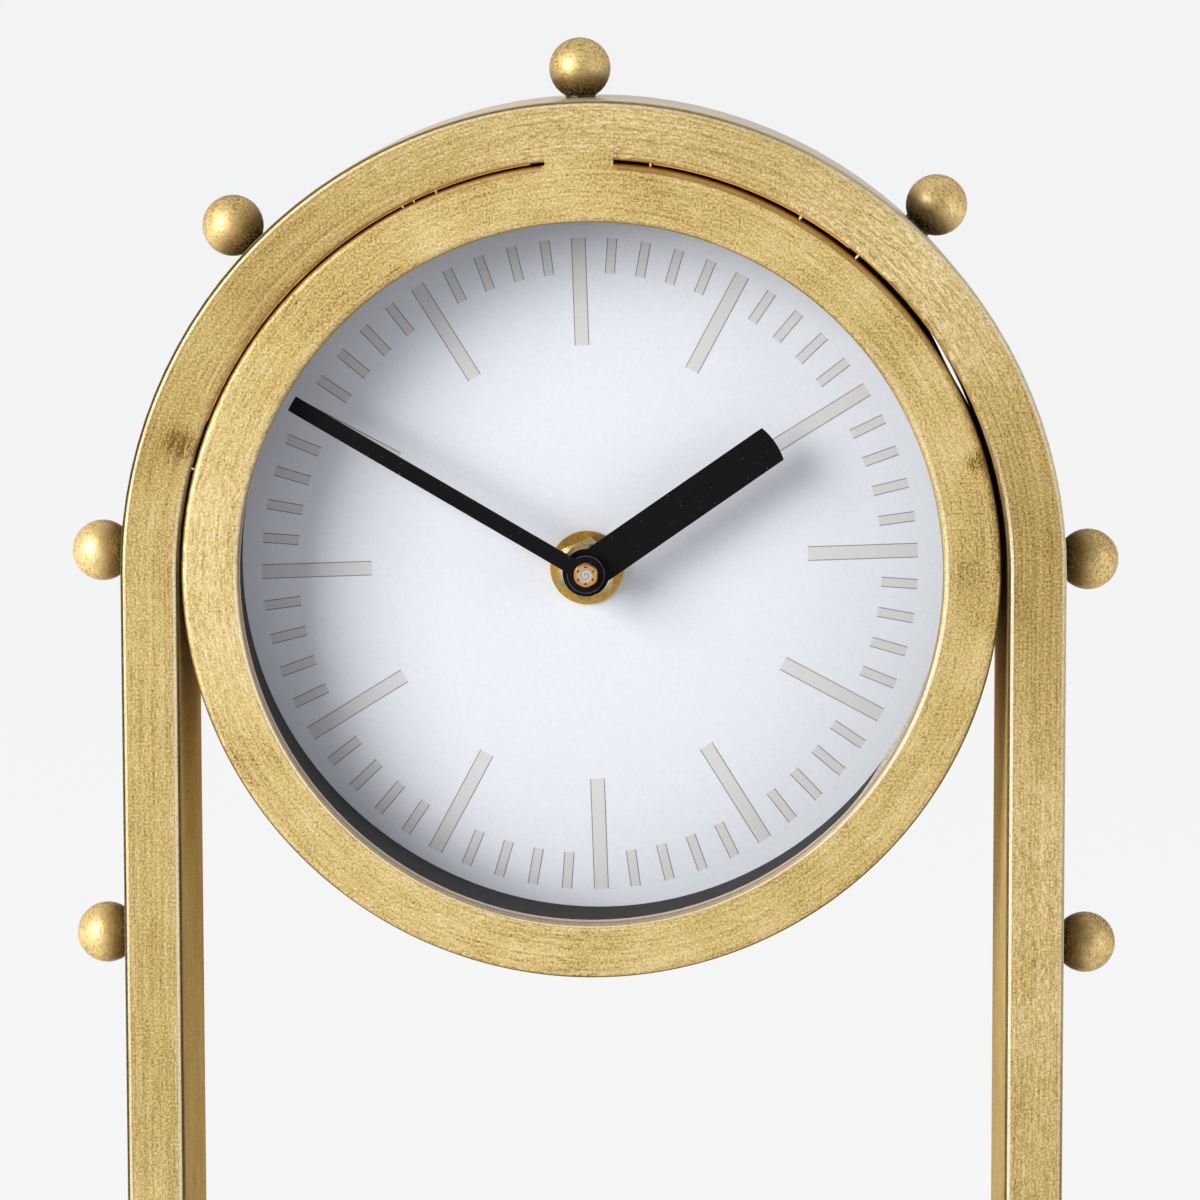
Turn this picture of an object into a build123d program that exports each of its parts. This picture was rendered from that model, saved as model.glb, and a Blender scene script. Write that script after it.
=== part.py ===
"""Arch table clock: a studded metal arch with a round quartz clock head hung in its bend.

Millimetres. +Z is up, the dial faces -Y and +X is to the viewer's right.
The origin is under the middle of the base.
"""

import os
from math import acos, cos, hypot, pi, radians, sin, tan

from build123d import *

# Arch frame: one rectangular tube bent into an upside-down U
arch_width = 202.0  # outside of one leg to outside of the other
leg_length = 246.0  # base to the start of the bend
tube_face = 12.5  # the tube as seen from the front
tube_depth = 50.0
tube_wall = 1.5
tube_edge = 1.3  # rounding along the tube's corners

# Ball studs round the outside of the arch
stud_diameter = 13.3
stud_flat = 0.4  # depth of the flat that the ball sits on
stud_neck = 6.5
stud_tail = 4.0  # spigot through the tube's wall
stud_tail_reach = 1.0  # spigot beyond the wall
stud_tail_fit = 0.1
stud_turn = -1.6  # degrees, the three studs on the bend lean to the left
stud_spread = 45.2  # degrees between the studs on the bend
leg_stud_rise = 1.7  # first leg stud above the start of the bend
leg_stud_pitch = 84.5
leg_stud_count = 3
leg_stud_skew = 1.0  # left studs higher and right studs lower by this

# Base
base_width = 228.0
base_depth = 90.0
base_height = 14.0
base_sheet = 1.5
base_corner = 3.0
felt_thick = 2.0
felt_proud = 1.0  # felt below the tray's rim
felt_inset = 2.0
board_gap = 0.3  # base board to tray
plug_height = 20.0
plug_fit = 0.1
base_screw_spread = 24.0
base_screw_diameter = 4.8
base_screw_play = 0.2
base_screw_head = 8.5
base_screw_head_height = 3.2
base_screw_sink = 4.0  # head's recess in the base board
base_screw_bite = 16.0  # screw inside the plug

# Clock head
head_gap = 1.0  # ring to arch
head_rise = 0.3  # head's centre above the bend's centre
head_shift = 0.4  # head's centre to the left of the bend's centre
head_turn = 1.8  # degrees, the tab sits to the left of the top
tab_width = 14.5
lip_reach = 2.2  # ring's front wall past its bore
movement_left = 1.25  # hands' axis to the left of the head's centre
movement_drop = 1.15  # hands' axis below the head's centre

# Dial
dial_recess = 22.5  # dial behind the ring's front
paper_thick = 0.4
dial_board_thick = 3.0
dial_board_fit = 0.4
band_thick = 0.75
band_fit = 0.15
clip_count = 4
clip_width = 8.0
clip_sheet = 1.2
clip_leg = 12.0
clip_foot = 7.0
clip_fit = 0.15
clip_screw_height = 7.5  # screw above the clip's foot
clip_screw_diameter = 2.5
clip_screw_length = 6.5
clip_screw_head = 5.6
clip_screw_head_height = 1.8
clip_screw_play = 0.2

# Hands
hand_sheet = 0.5
hour_hand_lift = 9.9  # underside of the hour hand above the dial
hour_hand_width = 8.3
hour_hand_hub = 10.2
hour_hand_collar = 1.5
hour_hand_collar_wall = 0.9
hour_hand_shortfall = 23.5  # hour hand shorter than the minute hand
hour_hand_bow = 0.6  # rise of the tip's curve
hour_hand_angle = 55.2  # degrees clockwise from twelve
minute_hand_lift = 13.0
minute_hand_width = 3.45
minute_hand_hub = 8.1
minute_hand_angle = 300.4
hand_tip_gap = 1.6  # minute hand's tip to the band at its nearest
bush_hex = 5.2  # across flats
bush_hex_height = 1.8
bush_mark = 0.6  # staking marks round the shaft
bush_mark_depth = 0.6
bush_sleeve = 4.6
bush_flange = 6.4
bush_flange_thick = 0.6
hand_fit = 0.02  # press fit of hands and bush

# Mounting of the movement
mount_diameter = 9.8
mount_proud = 7.0  # threaded bush above the dial
mount_fit = 0.15
nut_hex = 12.0
nut_height = 3.0
nut_taper = 8.0  # degrees, takes off the nut's corners
washer_diameter = 16.0
washer_thick = 0.8
rubber_diameter = 18.0
rubber_thick = 0.8

# Arbors and tubes
hour_tube = 6.0
hour_tube_proud = 0.3  # tube in front of the hour hand
minute_shaft = 3.4
minute_shaft_recess = 0.2  # shaft's end behind the bush's front
clutch_seat = 2.6  # seat of the centre wheel
motion_hub = 2.2  # between the motion wheel and its pinion
arbor = 1.0
running_fit = 0.08
pivot_depth = 1.0

# Movement case
case_width = 56.0
case_corner = 4.0
case_wall = 1.5
wheel_thick = 1.2
layer_gap = 0.6
pinion_reach = 0.2  # pinion past each face of its wheel
post_diameter = 3.0
pad_post_diameter = 2.4
wheel_clear = 0.8  # largest wheel to the chamber's floor
coil_clear = 1.5  # coil to the chamber's top
circuit_clear = 1.5  # circuit to the chamber's walls
knob_diameter = 11.0
knob_height = 5.0
knob_flutes = 12
knob_flute = 1.4
knob_shaft = 3.0
knob_stand = 0.6  # knob off the cover

# Battery
battery_diameter = 14.2
battery_nub = 5.5
battery_nub_height = 1.2
bay_fit = 0.35
contact_sheet = 0.5
contact_width = 9.0
contact_spring = 2.0  # travel of the bowed contact

# Gears: teeth and modules
pressure_angle = radians(25)
gear_play = 0.16  # tooth thinned by this share of the module
wheel_addendum = 0.7
pinion_addendum = 0.8
dedendum = 1.05
pinion_teeth = 8
motion_wheel_teeth = 24
hour_wheel_teeth = 32
knob_teeth = 16
centre_wheel_teeth = 60
third_wheel_teeth = 64
seconds_wheel_teeth = 48
intermediate_wheel_teeth = 40
motion_module = 0.5
centre_module = 0.3
seconds_module = 0.36
rotor_module = 0.3

# Directions between axes in the movement, degrees from +X towards +Z
motion_direction = radians(90)
knob_direction = radians(60)
third_direction = radians(0)
intermediate_direction = radians(180)
rotor_direction = radians(120)

# Stepping motor and circuit
rotor_magnet = 6.0
rotor_air = 0.6
stator_pole = 10.0
stator_bar = 3.0
stator_width = 16.6
coil_rise = 14.8  # coil's axis above the rotor
coil_length = 9.0
coil_diameter = 7.0
bobbin_flange = 8.0
bobbin_flange_thick = 0.8
bobbin_wall = 0.6
bobbin_fit = 0.1
circuit_size = (13.0, 12.0)
circuit_thick = 1.0
circuit_post_spread = 8.0
can_diameter = 2.0
can_length = 6.0

# Derived places of the frame
arch_outer = arch_width / 2
arch_inner = arch_outer - tube_face
bend_radius = arch_outer - tube_face / 2
spring_z = base_height + leg_length
front_y = -tube_depth / 2
back_y = tube_depth / 2
hollow_face = tube_face - 2 * tube_wall
hollow_depth = tube_depth - 2 * tube_wall

# Derived places of the head
head_x = -head_shift
head_z = spring_z + head_rise
axis_x = head_x - movement_left
axis_z = head_z - movement_drop
ring_outer = arch_inner - head_gap
ring_inner = ring_outer - tube_face
ring_bore = ring_inner + lip_reach
band_outer = ring_bore - band_fit
band_inner = band_outer - band_thick
dial_radius = ring_bore - dial_board_fit
dial_y = front_y + dial_recess
board_front_y = dial_y + paper_thick
board_back_y = board_front_y + dial_board_thick

# Derived depths of the movement, front to back
case_front_y = board_back_y + rubber_thick
chamber_y = case_front_y + case_wall
layer_step = wheel_thick + layer_gap
hour_layer = chamber_y + layer_gap
motion_layer = hour_layer + layer_step
centre_layer = motion_layer + layer_step
third_layer = centre_layer + layer_step
seconds_layer = third_layer + layer_step
intermediate_layer = seconds_layer + layer_step
cover_y = intermediate_layer + layer_step
cover_back_y = cover_y + case_wall
clutch_back_y = centre_layer + wheel_thick + pinion_reach
post_top_y = motion_layer + wheel_thick
pivot_hole = arbor + 2 * running_fit

# Derived depths of the hands, dial to viewer
hour_hand_back_y = dial_y - hour_hand_lift
hour_hand_front_y = hour_hand_back_y - hand_sheet
hour_tube_front_y = hour_hand_front_y - hour_tube_proud
minute_hand_back_y = dial_y - minute_hand_lift
minute_hand_front_y = minute_hand_back_y - hand_sheet
bush_front_y = minute_hand_front_y - bush_hex_height
bush_back_y = minute_hand_back_y + bush_flange_thick
shaft_front_y = bush_front_y + minute_shaft_recess
minute_hand_length = band_inner - hypot(movement_left, movement_drop) - hand_tip_gap
hour_hand_length = minute_hand_length - hour_hand_shortfall

# Derived axes of the train, in X and Z from the hands' axis
hour_module = motion_module * (pinion_teeth + motion_wheel_teeth) / (pinion_teeth + hour_wheel_teeth)
third_module = centre_module * (pinion_teeth + centre_wheel_teeth) / (pinion_teeth + third_wheel_teeth)


def along(start, direction, length):
    """The point at a length and direction from a start point."""
    return (start[0] + length * cos(direction), start[1] + length * sin(direction))


def centre_distance(module, teeth_a, teeth_b):
    """Distance between the axes of two meshed gears."""
    return module * (teeth_a + teeth_b) / 2


hands_axis = (0.0, 0.0)
motion_axis = along(
    hands_axis, motion_direction, centre_distance(motion_module, pinion_teeth, motion_wheel_teeth)
)
knob_axis = along(
    motion_axis, knob_direction, centre_distance(motion_module, motion_wheel_teeth, knob_teeth)
)
third_axis = along(
    hands_axis, third_direction, centre_distance(centre_module, pinion_teeth, centre_wheel_teeth)
)
intermediate_axis = along(
    hands_axis, intermediate_direction, centre_distance(seconds_module, pinion_teeth, seconds_wheel_teeth)
)
rotor_axis = along(
    intermediate_axis, rotor_direction, centre_distance(rotor_module, pinion_teeth, intermediate_wheel_teeth)
)
coil_axis = (rotor_axis[0], rotor_axis[1] + coil_rise)

# Derived room in the case: the gear chamber, and under it the bay that the cell fills
train_reach = max(
    centre_module * (centre_wheel_teeth / 2 + wheel_addendum),
    third_module * (third_wheel_teeth / 2 + wheel_addendum),
    seconds_module * (seconds_wheel_teeth / 2 + wheel_addendum),
)
inner_width = case_width - 2 * case_wall
chamber_low = -train_reach - wheel_clear
chamber_high = coil_axis[1] + bobbin_flange / 2 + coil_clear
chamber_axis = (chamber_low + chamber_high) / 2
bay_height = battery_diameter + 2 * bay_fit
bay_axis = chamber_low - case_wall - bay_height / 2
case_low = bay_axis - bay_height / 2 - case_wall
case_high = chamber_high + case_wall
case_height = case_high - case_low
case_axis = (case_low + case_high) / 2
battery_length = inner_width - battery_nub_height - contact_spring - 2 * contact_sheet
battery_left = -inner_width / 2 + contact_sheet + contact_spring
battery_y = chamber_y + battery_diameter / 2 + bay_fit
circuit_place = (
    inner_width / 2 - circuit_clear - circuit_size[0] / 2,
    chamber_high - circuit_clear - circuit_size[1] / 2,
)


def mesh_phase(direction, phase, teeth, mate_teeth):
    """Turn of a gear whose gap faces a tooth of its mate, which stands the other way along the direction."""
    teeth_past = (direction - phase) * teeth / (2 * pi)
    return direction + pi - (0.5 - teeth_past) * 2 * pi / mate_teeth


# Turn of each gear at rest
motion_phase = mesh_phase(motion_direction, 0.0, pinion_teeth, motion_wheel_teeth)
hour_phase = mesh_phase(motion_direction + pi, 0.0, pinion_teeth, hour_wheel_teeth)
knob_phase = mesh_phase(knob_direction, motion_phase, motion_wheel_teeth, knob_teeth)
third_phase = mesh_phase(third_direction, 0.0, pinion_teeth, third_wheel_teeth)
centre_phase = mesh_phase(third_direction + pi, 0.0, pinion_teeth, centre_wheel_teeth)
intermediate_phase = mesh_phase(intermediate_direction, 0.0, seconds_wheel_teeth, pinion_teeth)
rotor_phase = mesh_phase(rotor_direction, 0.0, intermediate_wheel_teeth, pinion_teeth)


def facing(y, place=(0.0, 0.0)):
    """A plane at depth y that faces the viewer, centred on a place in the movement."""
    return Plane(origin=(axis_x + place[0], y, axis_z + place[1]), x_dir=(1, 0, 0), z_dir=(0, -1, 0))


def head_facing(y):
    """A plane at depth y that faces the viewer, centred on the head."""
    return Plane(origin=(head_x, y, head_z), x_dir=(1, 0, 0), z_dir=(0, -1, 0))


def gear_points(module, teeth, addendum, phase):
    """Outline of a gear with involute flanks, radial below the base circle."""
    pitch = module * teeth / 2
    base = pitch * cos(pressure_angle)
    tip = pitch + addendum * module
    root = pitch - dedendum * module
    half_tooth = pi / (2 * teeth) - gear_play * module / (2 * pitch)
    start = max(base, root)
    radii = [start, (start + tip) / 2, tip] if teeth <= knob_teeth else [start, tip]

    def half_angle(radius):
        slope = acos(base / radius)
        return half_tooth + tan(pressure_angle) - pressure_angle - tan(slope) + slope

    side = [(radius, half_angle(radius)) for radius in radii]
    if root < base:
        side.insert(0, (root, half_angle(base)))
    points = []
    for tooth in range(teeth):
        middle = phase + tooth * 2 * pi / teeth
        for radius, angle in side:
            points.append((radius * cos(middle - angle), radius * sin(middle - angle)))
        for radius, angle in reversed(side):
            points.append((radius * cos(middle + angle), radius * sin(middle + angle)))
    return points


def gear(front, back, place, module, teeth, addendum, phase):
    """A gear between two depths."""
    with BuildPart() as blank:
        with BuildSketch(facing(back, place)):
            with BuildLine():
                Polyline(*gear_points(module, teeth, addendum, phase), close=True)
            make_face()
        extrude(amount=back - front)
    return blank.part


def wheel(layer, place, module, teeth, phase):
    """A wheel in its layer of the train."""
    return gear(layer, layer + wheel_thick, place, module, teeth, wheel_addendum, phase)


def pinion(layer, place, module, phase):
    """A pinion that spans the layer of the wheel that it meshes with."""
    front, back = layer - pinion_reach, layer + wheel_thick + pinion_reach
    return gear(front, back, place, module, pinion_teeth, pinion_addendum, phase)


def rod(front, back, place, diameter):
    """A round rod between two depths."""
    with BuildPart() as bar:
        with BuildSketch(facing(back, place)):
            Circle(diameter / 2)
        extrude(amount=back - front)
    return bar.part


def stud_seat(outward, point):
    """A plane on the tube's outer face that looks away from the arch."""
    return Plane(origin=point, x_dir=(0, 1, 0), z_dir=outward)


def bend_seat(degrees):
    """Seat of a stud on the bend, clockwise from the top."""
    outward = (sin(radians(degrees)), 0, cos(radians(degrees)))
    return stud_seat(outward, (arch_outer * outward[0], 0, spring_z + arch_outer * outward[2]))


def leg_seat(side, step):
    """Seat of a stud on a leg, counted down from the bend."""
    height = spring_z + leg_stud_rise - step * leg_stud_pitch - side * leg_stud_skew
    return stud_seat((side, 0, 0), (side * arch_outer, 0, height))


stud_seats = [bend_seat(stud_turn + step * stud_spread) for step in (-1, 0, 1)]
stud_seats += [leg_seat(side, step) for side in (-1, 1) for step in range(leg_stud_count)]
stud_places = [seat.location for seat in stud_seats]


def clip_frame(index):
    """A plane across one dial clip: X points away from the head's axis and Y to the back."""
    angle = (index + 0.5) * 2 * pi / clip_count
    outward = Vector(cos(angle), 0, sin(angle))
    return Plane(
        origin=(head_x, board_back_y, head_z), x_dir=outward, z_dir=outward.cross(Vector(0, 1, 0))
    )


def clip_screw_plane(frame, radius):
    """A plane across a clip's screw at a distance from the head's axis, looking away from it."""
    return Plane(origin=frame.from_local_coords((radius, clip_screw_height)), z_dir=frame.x_dir)


clip_frames = [clip_frame(index) for index in range(clip_count)]
clip_outer = ring_bore - clip_fit
clip_inner = clip_outer - clip_sheet

# Arch: the tube swept along legs and bend, with a hole for each stud
with BuildPart() as arch_tube:
    with BuildLine():
        Line((-bend_radius, 0, base_height), (-bend_radius, 0, spring_z))
        ThreePointArc(
            (-bend_radius, 0, spring_z), (0, 0, spring_z + bend_radius), (bend_radius, 0, spring_z)
        )
        Line((bend_radius, 0, spring_z), (bend_radius, 0, base_height))
    with BuildSketch(Plane.XY.offset(base_height)):
        with Locations((-bend_radius, 0)):
            RectangleRounded(tube_face, tube_depth, tube_edge)
            Rectangle(hollow_face, hollow_depth, mode=Mode.SUBTRACT)
    sweep()
    with Locations(*stud_places):
        Cylinder(stud_tail / 2 + stud_tail_fit, 2 * (tube_wall + tube_edge), mode=Mode.SUBTRACT)

with BuildPart() as ball_studs:
    with Locations(*stud_places):
        with Locations((0, 0, stud_diameter / 2 - stud_flat)):
            Sphere(stud_diameter / 2)
        Cylinder(stud_neck / 2, stud_diameter / 2, align=(Align.CENTER, Align.CENTER, Align.MIN))
        Cylinder(
            stud_tail / 2, tube_wall + stud_tail_reach, align=(Align.CENTER, Align.CENTER, Align.MAX)
        )
    # the ball's flat and the neck's foot follow the bend, so they never cut into the tube
    add(arch_tube.part, mode=Mode.SUBTRACT)

# Clock head: a hollow ring whose front wall reaches past the bore as a lip
lip_back_y = front_y + tube_wall
with BuildPart() as head_ring:
    with BuildSketch(Plane(origin=(head_x, 0, head_z), x_dir=(0, 1, 0), z_dir=(1, 0, 0))) as ring_section:
        with BuildLine(Plane.XY):
            Polyline(
                (front_y, ring_inner),
                (front_y, ring_outer),
                (back_y, ring_outer),
                (back_y, ring_bore),
                (lip_back_y, ring_bore),
                (lip_back_y, ring_inner),
                close=True,
            )
        make_face()
        front_and_back = ring_section.vertices().group_by(Axis.X)
        fillet(front_and_back[0] + front_and_back[-1], min(tube_edge, 0.9 * tube_wall))
        with Locations((0, (ring_outer + ring_bore) / 2)):
            Rectangle(hollow_depth, ring_outer - ring_bore - 2 * tube_wall, mode=Mode.SUBTRACT)
    revolve(axis=Axis((head_x, 0, head_z), (0, 1, 0)))
    for frame in clip_frames:
        with Locations(clip_screw_plane(frame, ring_bore)):
            Cylinder(clip_screw_diameter / 2 + clip_screw_play, 2 * tube_wall + tube_edge, mode=Mode.SUBTRACT)

# Tab: fills the gap and the rounded edges between ring and arch, flush front and back
with BuildPart() as head_tab:
    bite = min(tube_edge, tube_wall)
    with BuildSketch(Plane(origin=(0, back_y, spring_z), x_dir=(1, 0, 0), z_dir=(0, -1, 0))):
        Circle(arch_inner + bite)
        with Locations((head_x, head_rise)):
            Circle(ring_outer - bite, mode=Mode.SUBTRACT)
        with Locations(Location((0, 0), head_turn)):
            Rectangle(
                tab_width, arch_outer, align=(Align.CENTER, Align.MIN), mode=Mode.INTERSECT
            )
    extrude(amount=tube_depth)
    add(arch_tube.part, mode=Mode.SUBTRACT)
    add(head_ring.part, mode=Mode.SUBTRACT)

# Dial
with BuildPart() as dial_band:
    with BuildSketch(head_facing(dial_y)):
        Circle(band_outer)
        Circle(band_inner, mode=Mode.SUBTRACT)
    extrude(amount=dial_y - lip_back_y)

with BuildPart() as dial_face:
    with BuildSketch(head_facing(board_front_y)):
        Circle(dial_radius)
        with Locations((-movement_left, -movement_drop)):
            Circle(mount_diameter / 2 + mount_fit, mode=Mode.SUBTRACT)
    extrude(amount=paper_thick)

with BuildPart() as dial_board:
    with BuildSketch(head_facing(board_back_y)):
        Circle(dial_radius)
        with Locations((-movement_left, -movement_drop)):
            Circle(mount_diameter / 2 + mount_fit, mode=Mode.SUBTRACT)
    extrude(amount=dial_board_thick)

with BuildPart() as dial_clips:
    for frame in clip_frames:
        with BuildSketch(frame):
            with BuildLine():
                Polyline(
                    (clip_outer, 0),
                    (clip_outer, clip_leg),
                    (clip_inner, clip_leg),
                    (clip_inner, clip_sheet),
                    (clip_outer - clip_foot, clip_sheet),
                    (clip_outer - clip_foot, 0),
                    close=True,
                )
            make_face()
        extrude(amount=clip_width / 2, both=True)
        with Locations(clip_screw_plane(frame, clip_outer)):
            Cylinder(clip_screw_diameter / 2 + clip_screw_play, 4 * clip_sheet, mode=Mode.SUBTRACT)

with BuildPart() as clip_screws:
    for frame in clip_frames:
        with Locations(clip_screw_plane(frame, clip_inner)):
            Cylinder(
                clip_screw_diameter / 2, clip_screw_length, align=(Align.CENTER, Align.CENTER, Align.MIN)
            )
            Cylinder(
                clip_screw_head / 2, clip_screw_head_height, align=(Align.CENTER, Align.CENTER, Align.MAX)
            )

# Mounting of the movement through the dial
with BuildPart() as mounting_bush:
    add(rod(dial_y - mount_proud, chamber_y, hands_axis, mount_diameter))
    add(rod(dial_y - mount_proud, chamber_y, hands_axis, hour_tube + 2 * running_fit), mode=Mode.SUBTRACT)

with BuildPart() as mount_washer:
    add(rod(dial_y - washer_thick, dial_y, hands_axis, washer_diameter))
    add(rod(dial_y - washer_thick, dial_y, hands_axis, mount_diameter + 2 * mount_fit), mode=Mode.SUBTRACT)

with BuildPart() as mount_nut:
    with BuildSketch(facing(dial_y - washer_thick)):
        RegularPolygon(nut_hex / 2, 6, major_radius=False)
    extrude(amount=nut_height)
    with BuildSketch(facing(dial_y - washer_thick)):
        Circle(nut_hex / 2 / cos(pi / 6))
    extrude(amount=nut_height, taper=nut_taper, mode=Mode.INTERSECT)
    nut_back_y = dial_y - washer_thick
    nut_bore = rod(nut_back_y - nut_height, nut_back_y, hands_axis, mount_diameter + 2 * hand_fit)
    add(nut_bore, mode=Mode.SUBTRACT)

with BuildPart() as rubber_washer:
    add(rod(board_back_y, case_front_y, hands_axis, rubber_diameter))
    add(rod(board_back_y, case_front_y, hands_axis, mount_diameter + 2 * mount_fit), mode=Mode.SUBTRACT)

# Hands
with BuildPart() as hour_hand:
    with BuildSketch(facing(hour_hand_back_y)) as hour_outline:
        with BuildLine(Plane.XY):
            tip_left = (-hour_hand_width / 2, hour_hand_length - hour_hand_bow)
            tip_right = (hour_hand_width / 2, hour_hand_length - hour_hand_bow)
            Polyline(tip_right, (hour_hand_width / 2, 0), (-hour_hand_width / 2, 0), tip_left)
            ThreePointArc(tip_left, (0, hour_hand_length), tip_right)
        make_face()
        Circle(hour_hand_hub / 2)
    extrude(amount=hand_sheet)
    with BuildSketch(facing(hour_hand_back_y + hour_hand_collar)):
        Circle(hour_tube / 2 + hour_hand_collar_wall)
    extrude(amount=hour_hand_collar)
    hour_collar_y = hour_hand_back_y + hour_hand_collar
    add(rod(hour_hand_front_y, hour_collar_y, hands_axis, hour_tube + 2 * hand_fit), mode=Mode.SUBTRACT)
hands_line = Axis((axis_x, 0, axis_z), (0, 1, 0))
hour_hand.part = hour_hand.part.rotate(hands_line, hour_hand_angle)

with BuildPart() as minute_hand:
    with BuildSketch(facing(minute_hand_back_y)):
        Rectangle(minute_hand_width, minute_hand_length, align=(Align.CENTER, Align.MIN))
        Circle(minute_hand_hub / 2)
        Circle(bush_sleeve / 2 + hand_fit, mode=Mode.SUBTRACT)
    extrude(amount=hand_sheet)
minute_hand.part = minute_hand.part.rotate(hands_line, minute_hand_angle)

with BuildPart() as minute_bush:
    with BuildSketch(facing(minute_hand_front_y)):
        RegularPolygon(bush_hex / 2, 6, major_radius=False, rotation=30)
    extrude(amount=bush_hex_height)
    add(rod(minute_hand_front_y, minute_hand_back_y, hands_axis, bush_sleeve))
    add(rod(minute_hand_back_y, bush_back_y, hands_axis, bush_flange))
    add(rod(bush_front_y, bush_back_y, hands_axis, minute_shaft + 2 * hand_fit), mode=Mode.SUBTRACT)
    with BuildSketch(facing(bush_front_y + bush_mark_depth)):
        with PolarLocations(minute_shaft / 2 + hand_fit, 6, start_angle=30):
            Circle(bush_mark / 2)
    extrude(amount=bush_mark_depth, mode=Mode.SUBTRACT)

# Motion work: minute arbor, motion wheel, hour wheel and setting knob
with BuildPart() as minute_arbor:
    add(rod(shaft_front_y, motion_layer - pinion_reach, hands_axis, minute_shaft))
    add(pinion(motion_layer, hands_axis, motion_module, 0.0))
    add(rod(motion_layer, clutch_back_y, hands_axis, clutch_seat))
    add(rod(clutch_back_y - pivot_depth, clutch_back_y, hands_axis, pivot_hole), mode=Mode.SUBTRACT)

with BuildPart() as hour_wheel:
    add(wheel(hour_layer, hands_axis, hour_module, hour_wheel_teeth, hour_phase))
    add(rod(hour_tube_front_y, hour_layer, hands_axis, hour_tube))
    minute_bore = rod(hour_tube_front_y, hour_layer + wheel_thick, hands_axis, minute_shaft + 2 * running_fit)
    add(minute_bore, mode=Mode.SUBTRACT)

with BuildPart() as motion_wheel:
    add(pinion(hour_layer, motion_axis, hour_module, 0.0))
    add(rod(hour_layer + wheel_thick, motion_layer, motion_axis, motion_hub))
    add(wheel(motion_layer, motion_axis, motion_module, motion_wheel_teeth, motion_phase))
    add(rod(hour_layer - pinion_reach, post_top_y, motion_axis, pivot_hole), mode=Mode.SUBTRACT)

with BuildPart() as setting_knob:
    add(wheel(motion_layer, knob_axis, motion_module, knob_teeth, knob_phase))
    add(rod(motion_layer - pivot_depth, motion_layer, knob_axis, arbor))
    add(rod(motion_layer, cover_back_y + knob_stand, knob_axis, knob_shaft))
    add(rod(cover_back_y + knob_stand, cover_back_y + knob_stand + knob_height, knob_axis, knob_diameter))
    with BuildSketch(facing(cover_back_y + knob_stand + knob_height, knob_axis)):
        with PolarLocations(knob_diameter / 2, knob_flutes):
            Circle(knob_flute / 2)
    extrude(amount=knob_height, mode=Mode.SUBTRACT)

# Going train: centre wheel on a slipping seat, then third, seconds and intermediate wheels, and the rotor
with BuildPart() as centre_wheel:
    add(wheel(centre_layer, hands_axis, centre_module, centre_wheel_teeth, centre_phase))
    clutch_bore = clutch_seat + 2 * hand_fit
    add(rod(centre_layer, centre_layer + wheel_thick, hands_axis, clutch_bore), mode=Mode.SUBTRACT)

with BuildPart() as third_wheel:
    add(rod(motion_layer, cover_y + pivot_depth, third_axis, arbor))
    add(pinion(centre_layer, third_axis, centre_module, 0.0))
    add(wheel(third_layer, third_axis, third_module, third_wheel_teeth, third_phase))

with BuildPart() as seconds_wheel:
    add(rod(clutch_back_y - pivot_depth + running_fit, cover_y + pivot_depth, hands_axis, arbor))
    add(pinion(third_layer, hands_axis, third_module, 0.0))
    add(wheel(seconds_layer, hands_axis, seconds_module, seconds_wheel_teeth, 0.0))

with BuildPart() as intermediate_wheel:
    add(rod(motion_layer, cover_y + pivot_depth, intermediate_axis, arbor))
    add(pinion(seconds_layer, intermediate_axis, seconds_module, intermediate_phase))
    add(wheel(intermediate_layer, intermediate_axis, rotor_module, intermediate_wheel_teeth, 0.0))

with BuildPart() as rotor:
    add(rod(motion_layer, cover_y + pivot_depth, rotor_axis, arbor))
    add(rod(third_layer - layer_gap, third_layer + wheel_thick + layer_gap, rotor_axis, rotor_magnet))
    add(pinion(intermediate_layer, rotor_axis, rotor_module, rotor_phase))

# Stepping motor
with BuildPart() as stator:
    with BuildSketch(facing(third_layer + wheel_thick, rotor_axis)):
        Circle(stator_pole / 2)
        Rectangle(stator_width, stator_pole / 2)
        with Locations((0, coil_rise)):
            Rectangle(stator_width, stator_bar)
        with GridLocations(stator_width - stator_bar, 0, 2, 1):
            Rectangle(stator_bar, coil_rise, align=(Align.CENTER, Align.MIN))
        Circle(rotor_magnet / 2 + rotor_air, mode=Mode.SUBTRACT)
    extrude(amount=wheel_thick)

with BuildPart() as coil_bobbin:
    bobbin_middle = Plane(
        origin=(axis_x + coil_axis[0], third_layer + wheel_thick / 2, axis_z + coil_axis[1]),
        x_dir=(0, 1, 0),
        z_dir=(1, 0, 0),
    )
    with BuildSketch(bobbin_middle):
        Rectangle(wheel_thick + 2 * (bobbin_fit + bobbin_wall), stator_bar + 2 * (bobbin_fit + bobbin_wall))
    extrude(amount=coil_length / 2, both=True)
    for side in (-1, 1):
        with BuildSketch(bobbin_middle.offset(side * (coil_length + bobbin_flange_thick) / 2)):
            Rectangle(bobbin_flange, bobbin_flange)
        extrude(amount=bobbin_flange_thick / 2, both=True)
    with BuildSketch(bobbin_middle):
        Rectangle(wheel_thick + 2 * bobbin_fit, stator_bar + 2 * bobbin_fit)
    extrude(amount=coil_length, both=True, mode=Mode.SUBTRACT)

with BuildPart() as coil_winding:
    with BuildSketch(bobbin_middle):
        Circle(coil_diameter / 2)
        Rectangle(
            wheel_thick + 2 * (bobbin_fit + bobbin_wall),
            stator_bar + 2 * (bobbin_fit + bobbin_wall),
            mode=Mode.SUBTRACT,
        )
    extrude(amount=coil_length / 2, both=True)

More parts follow.
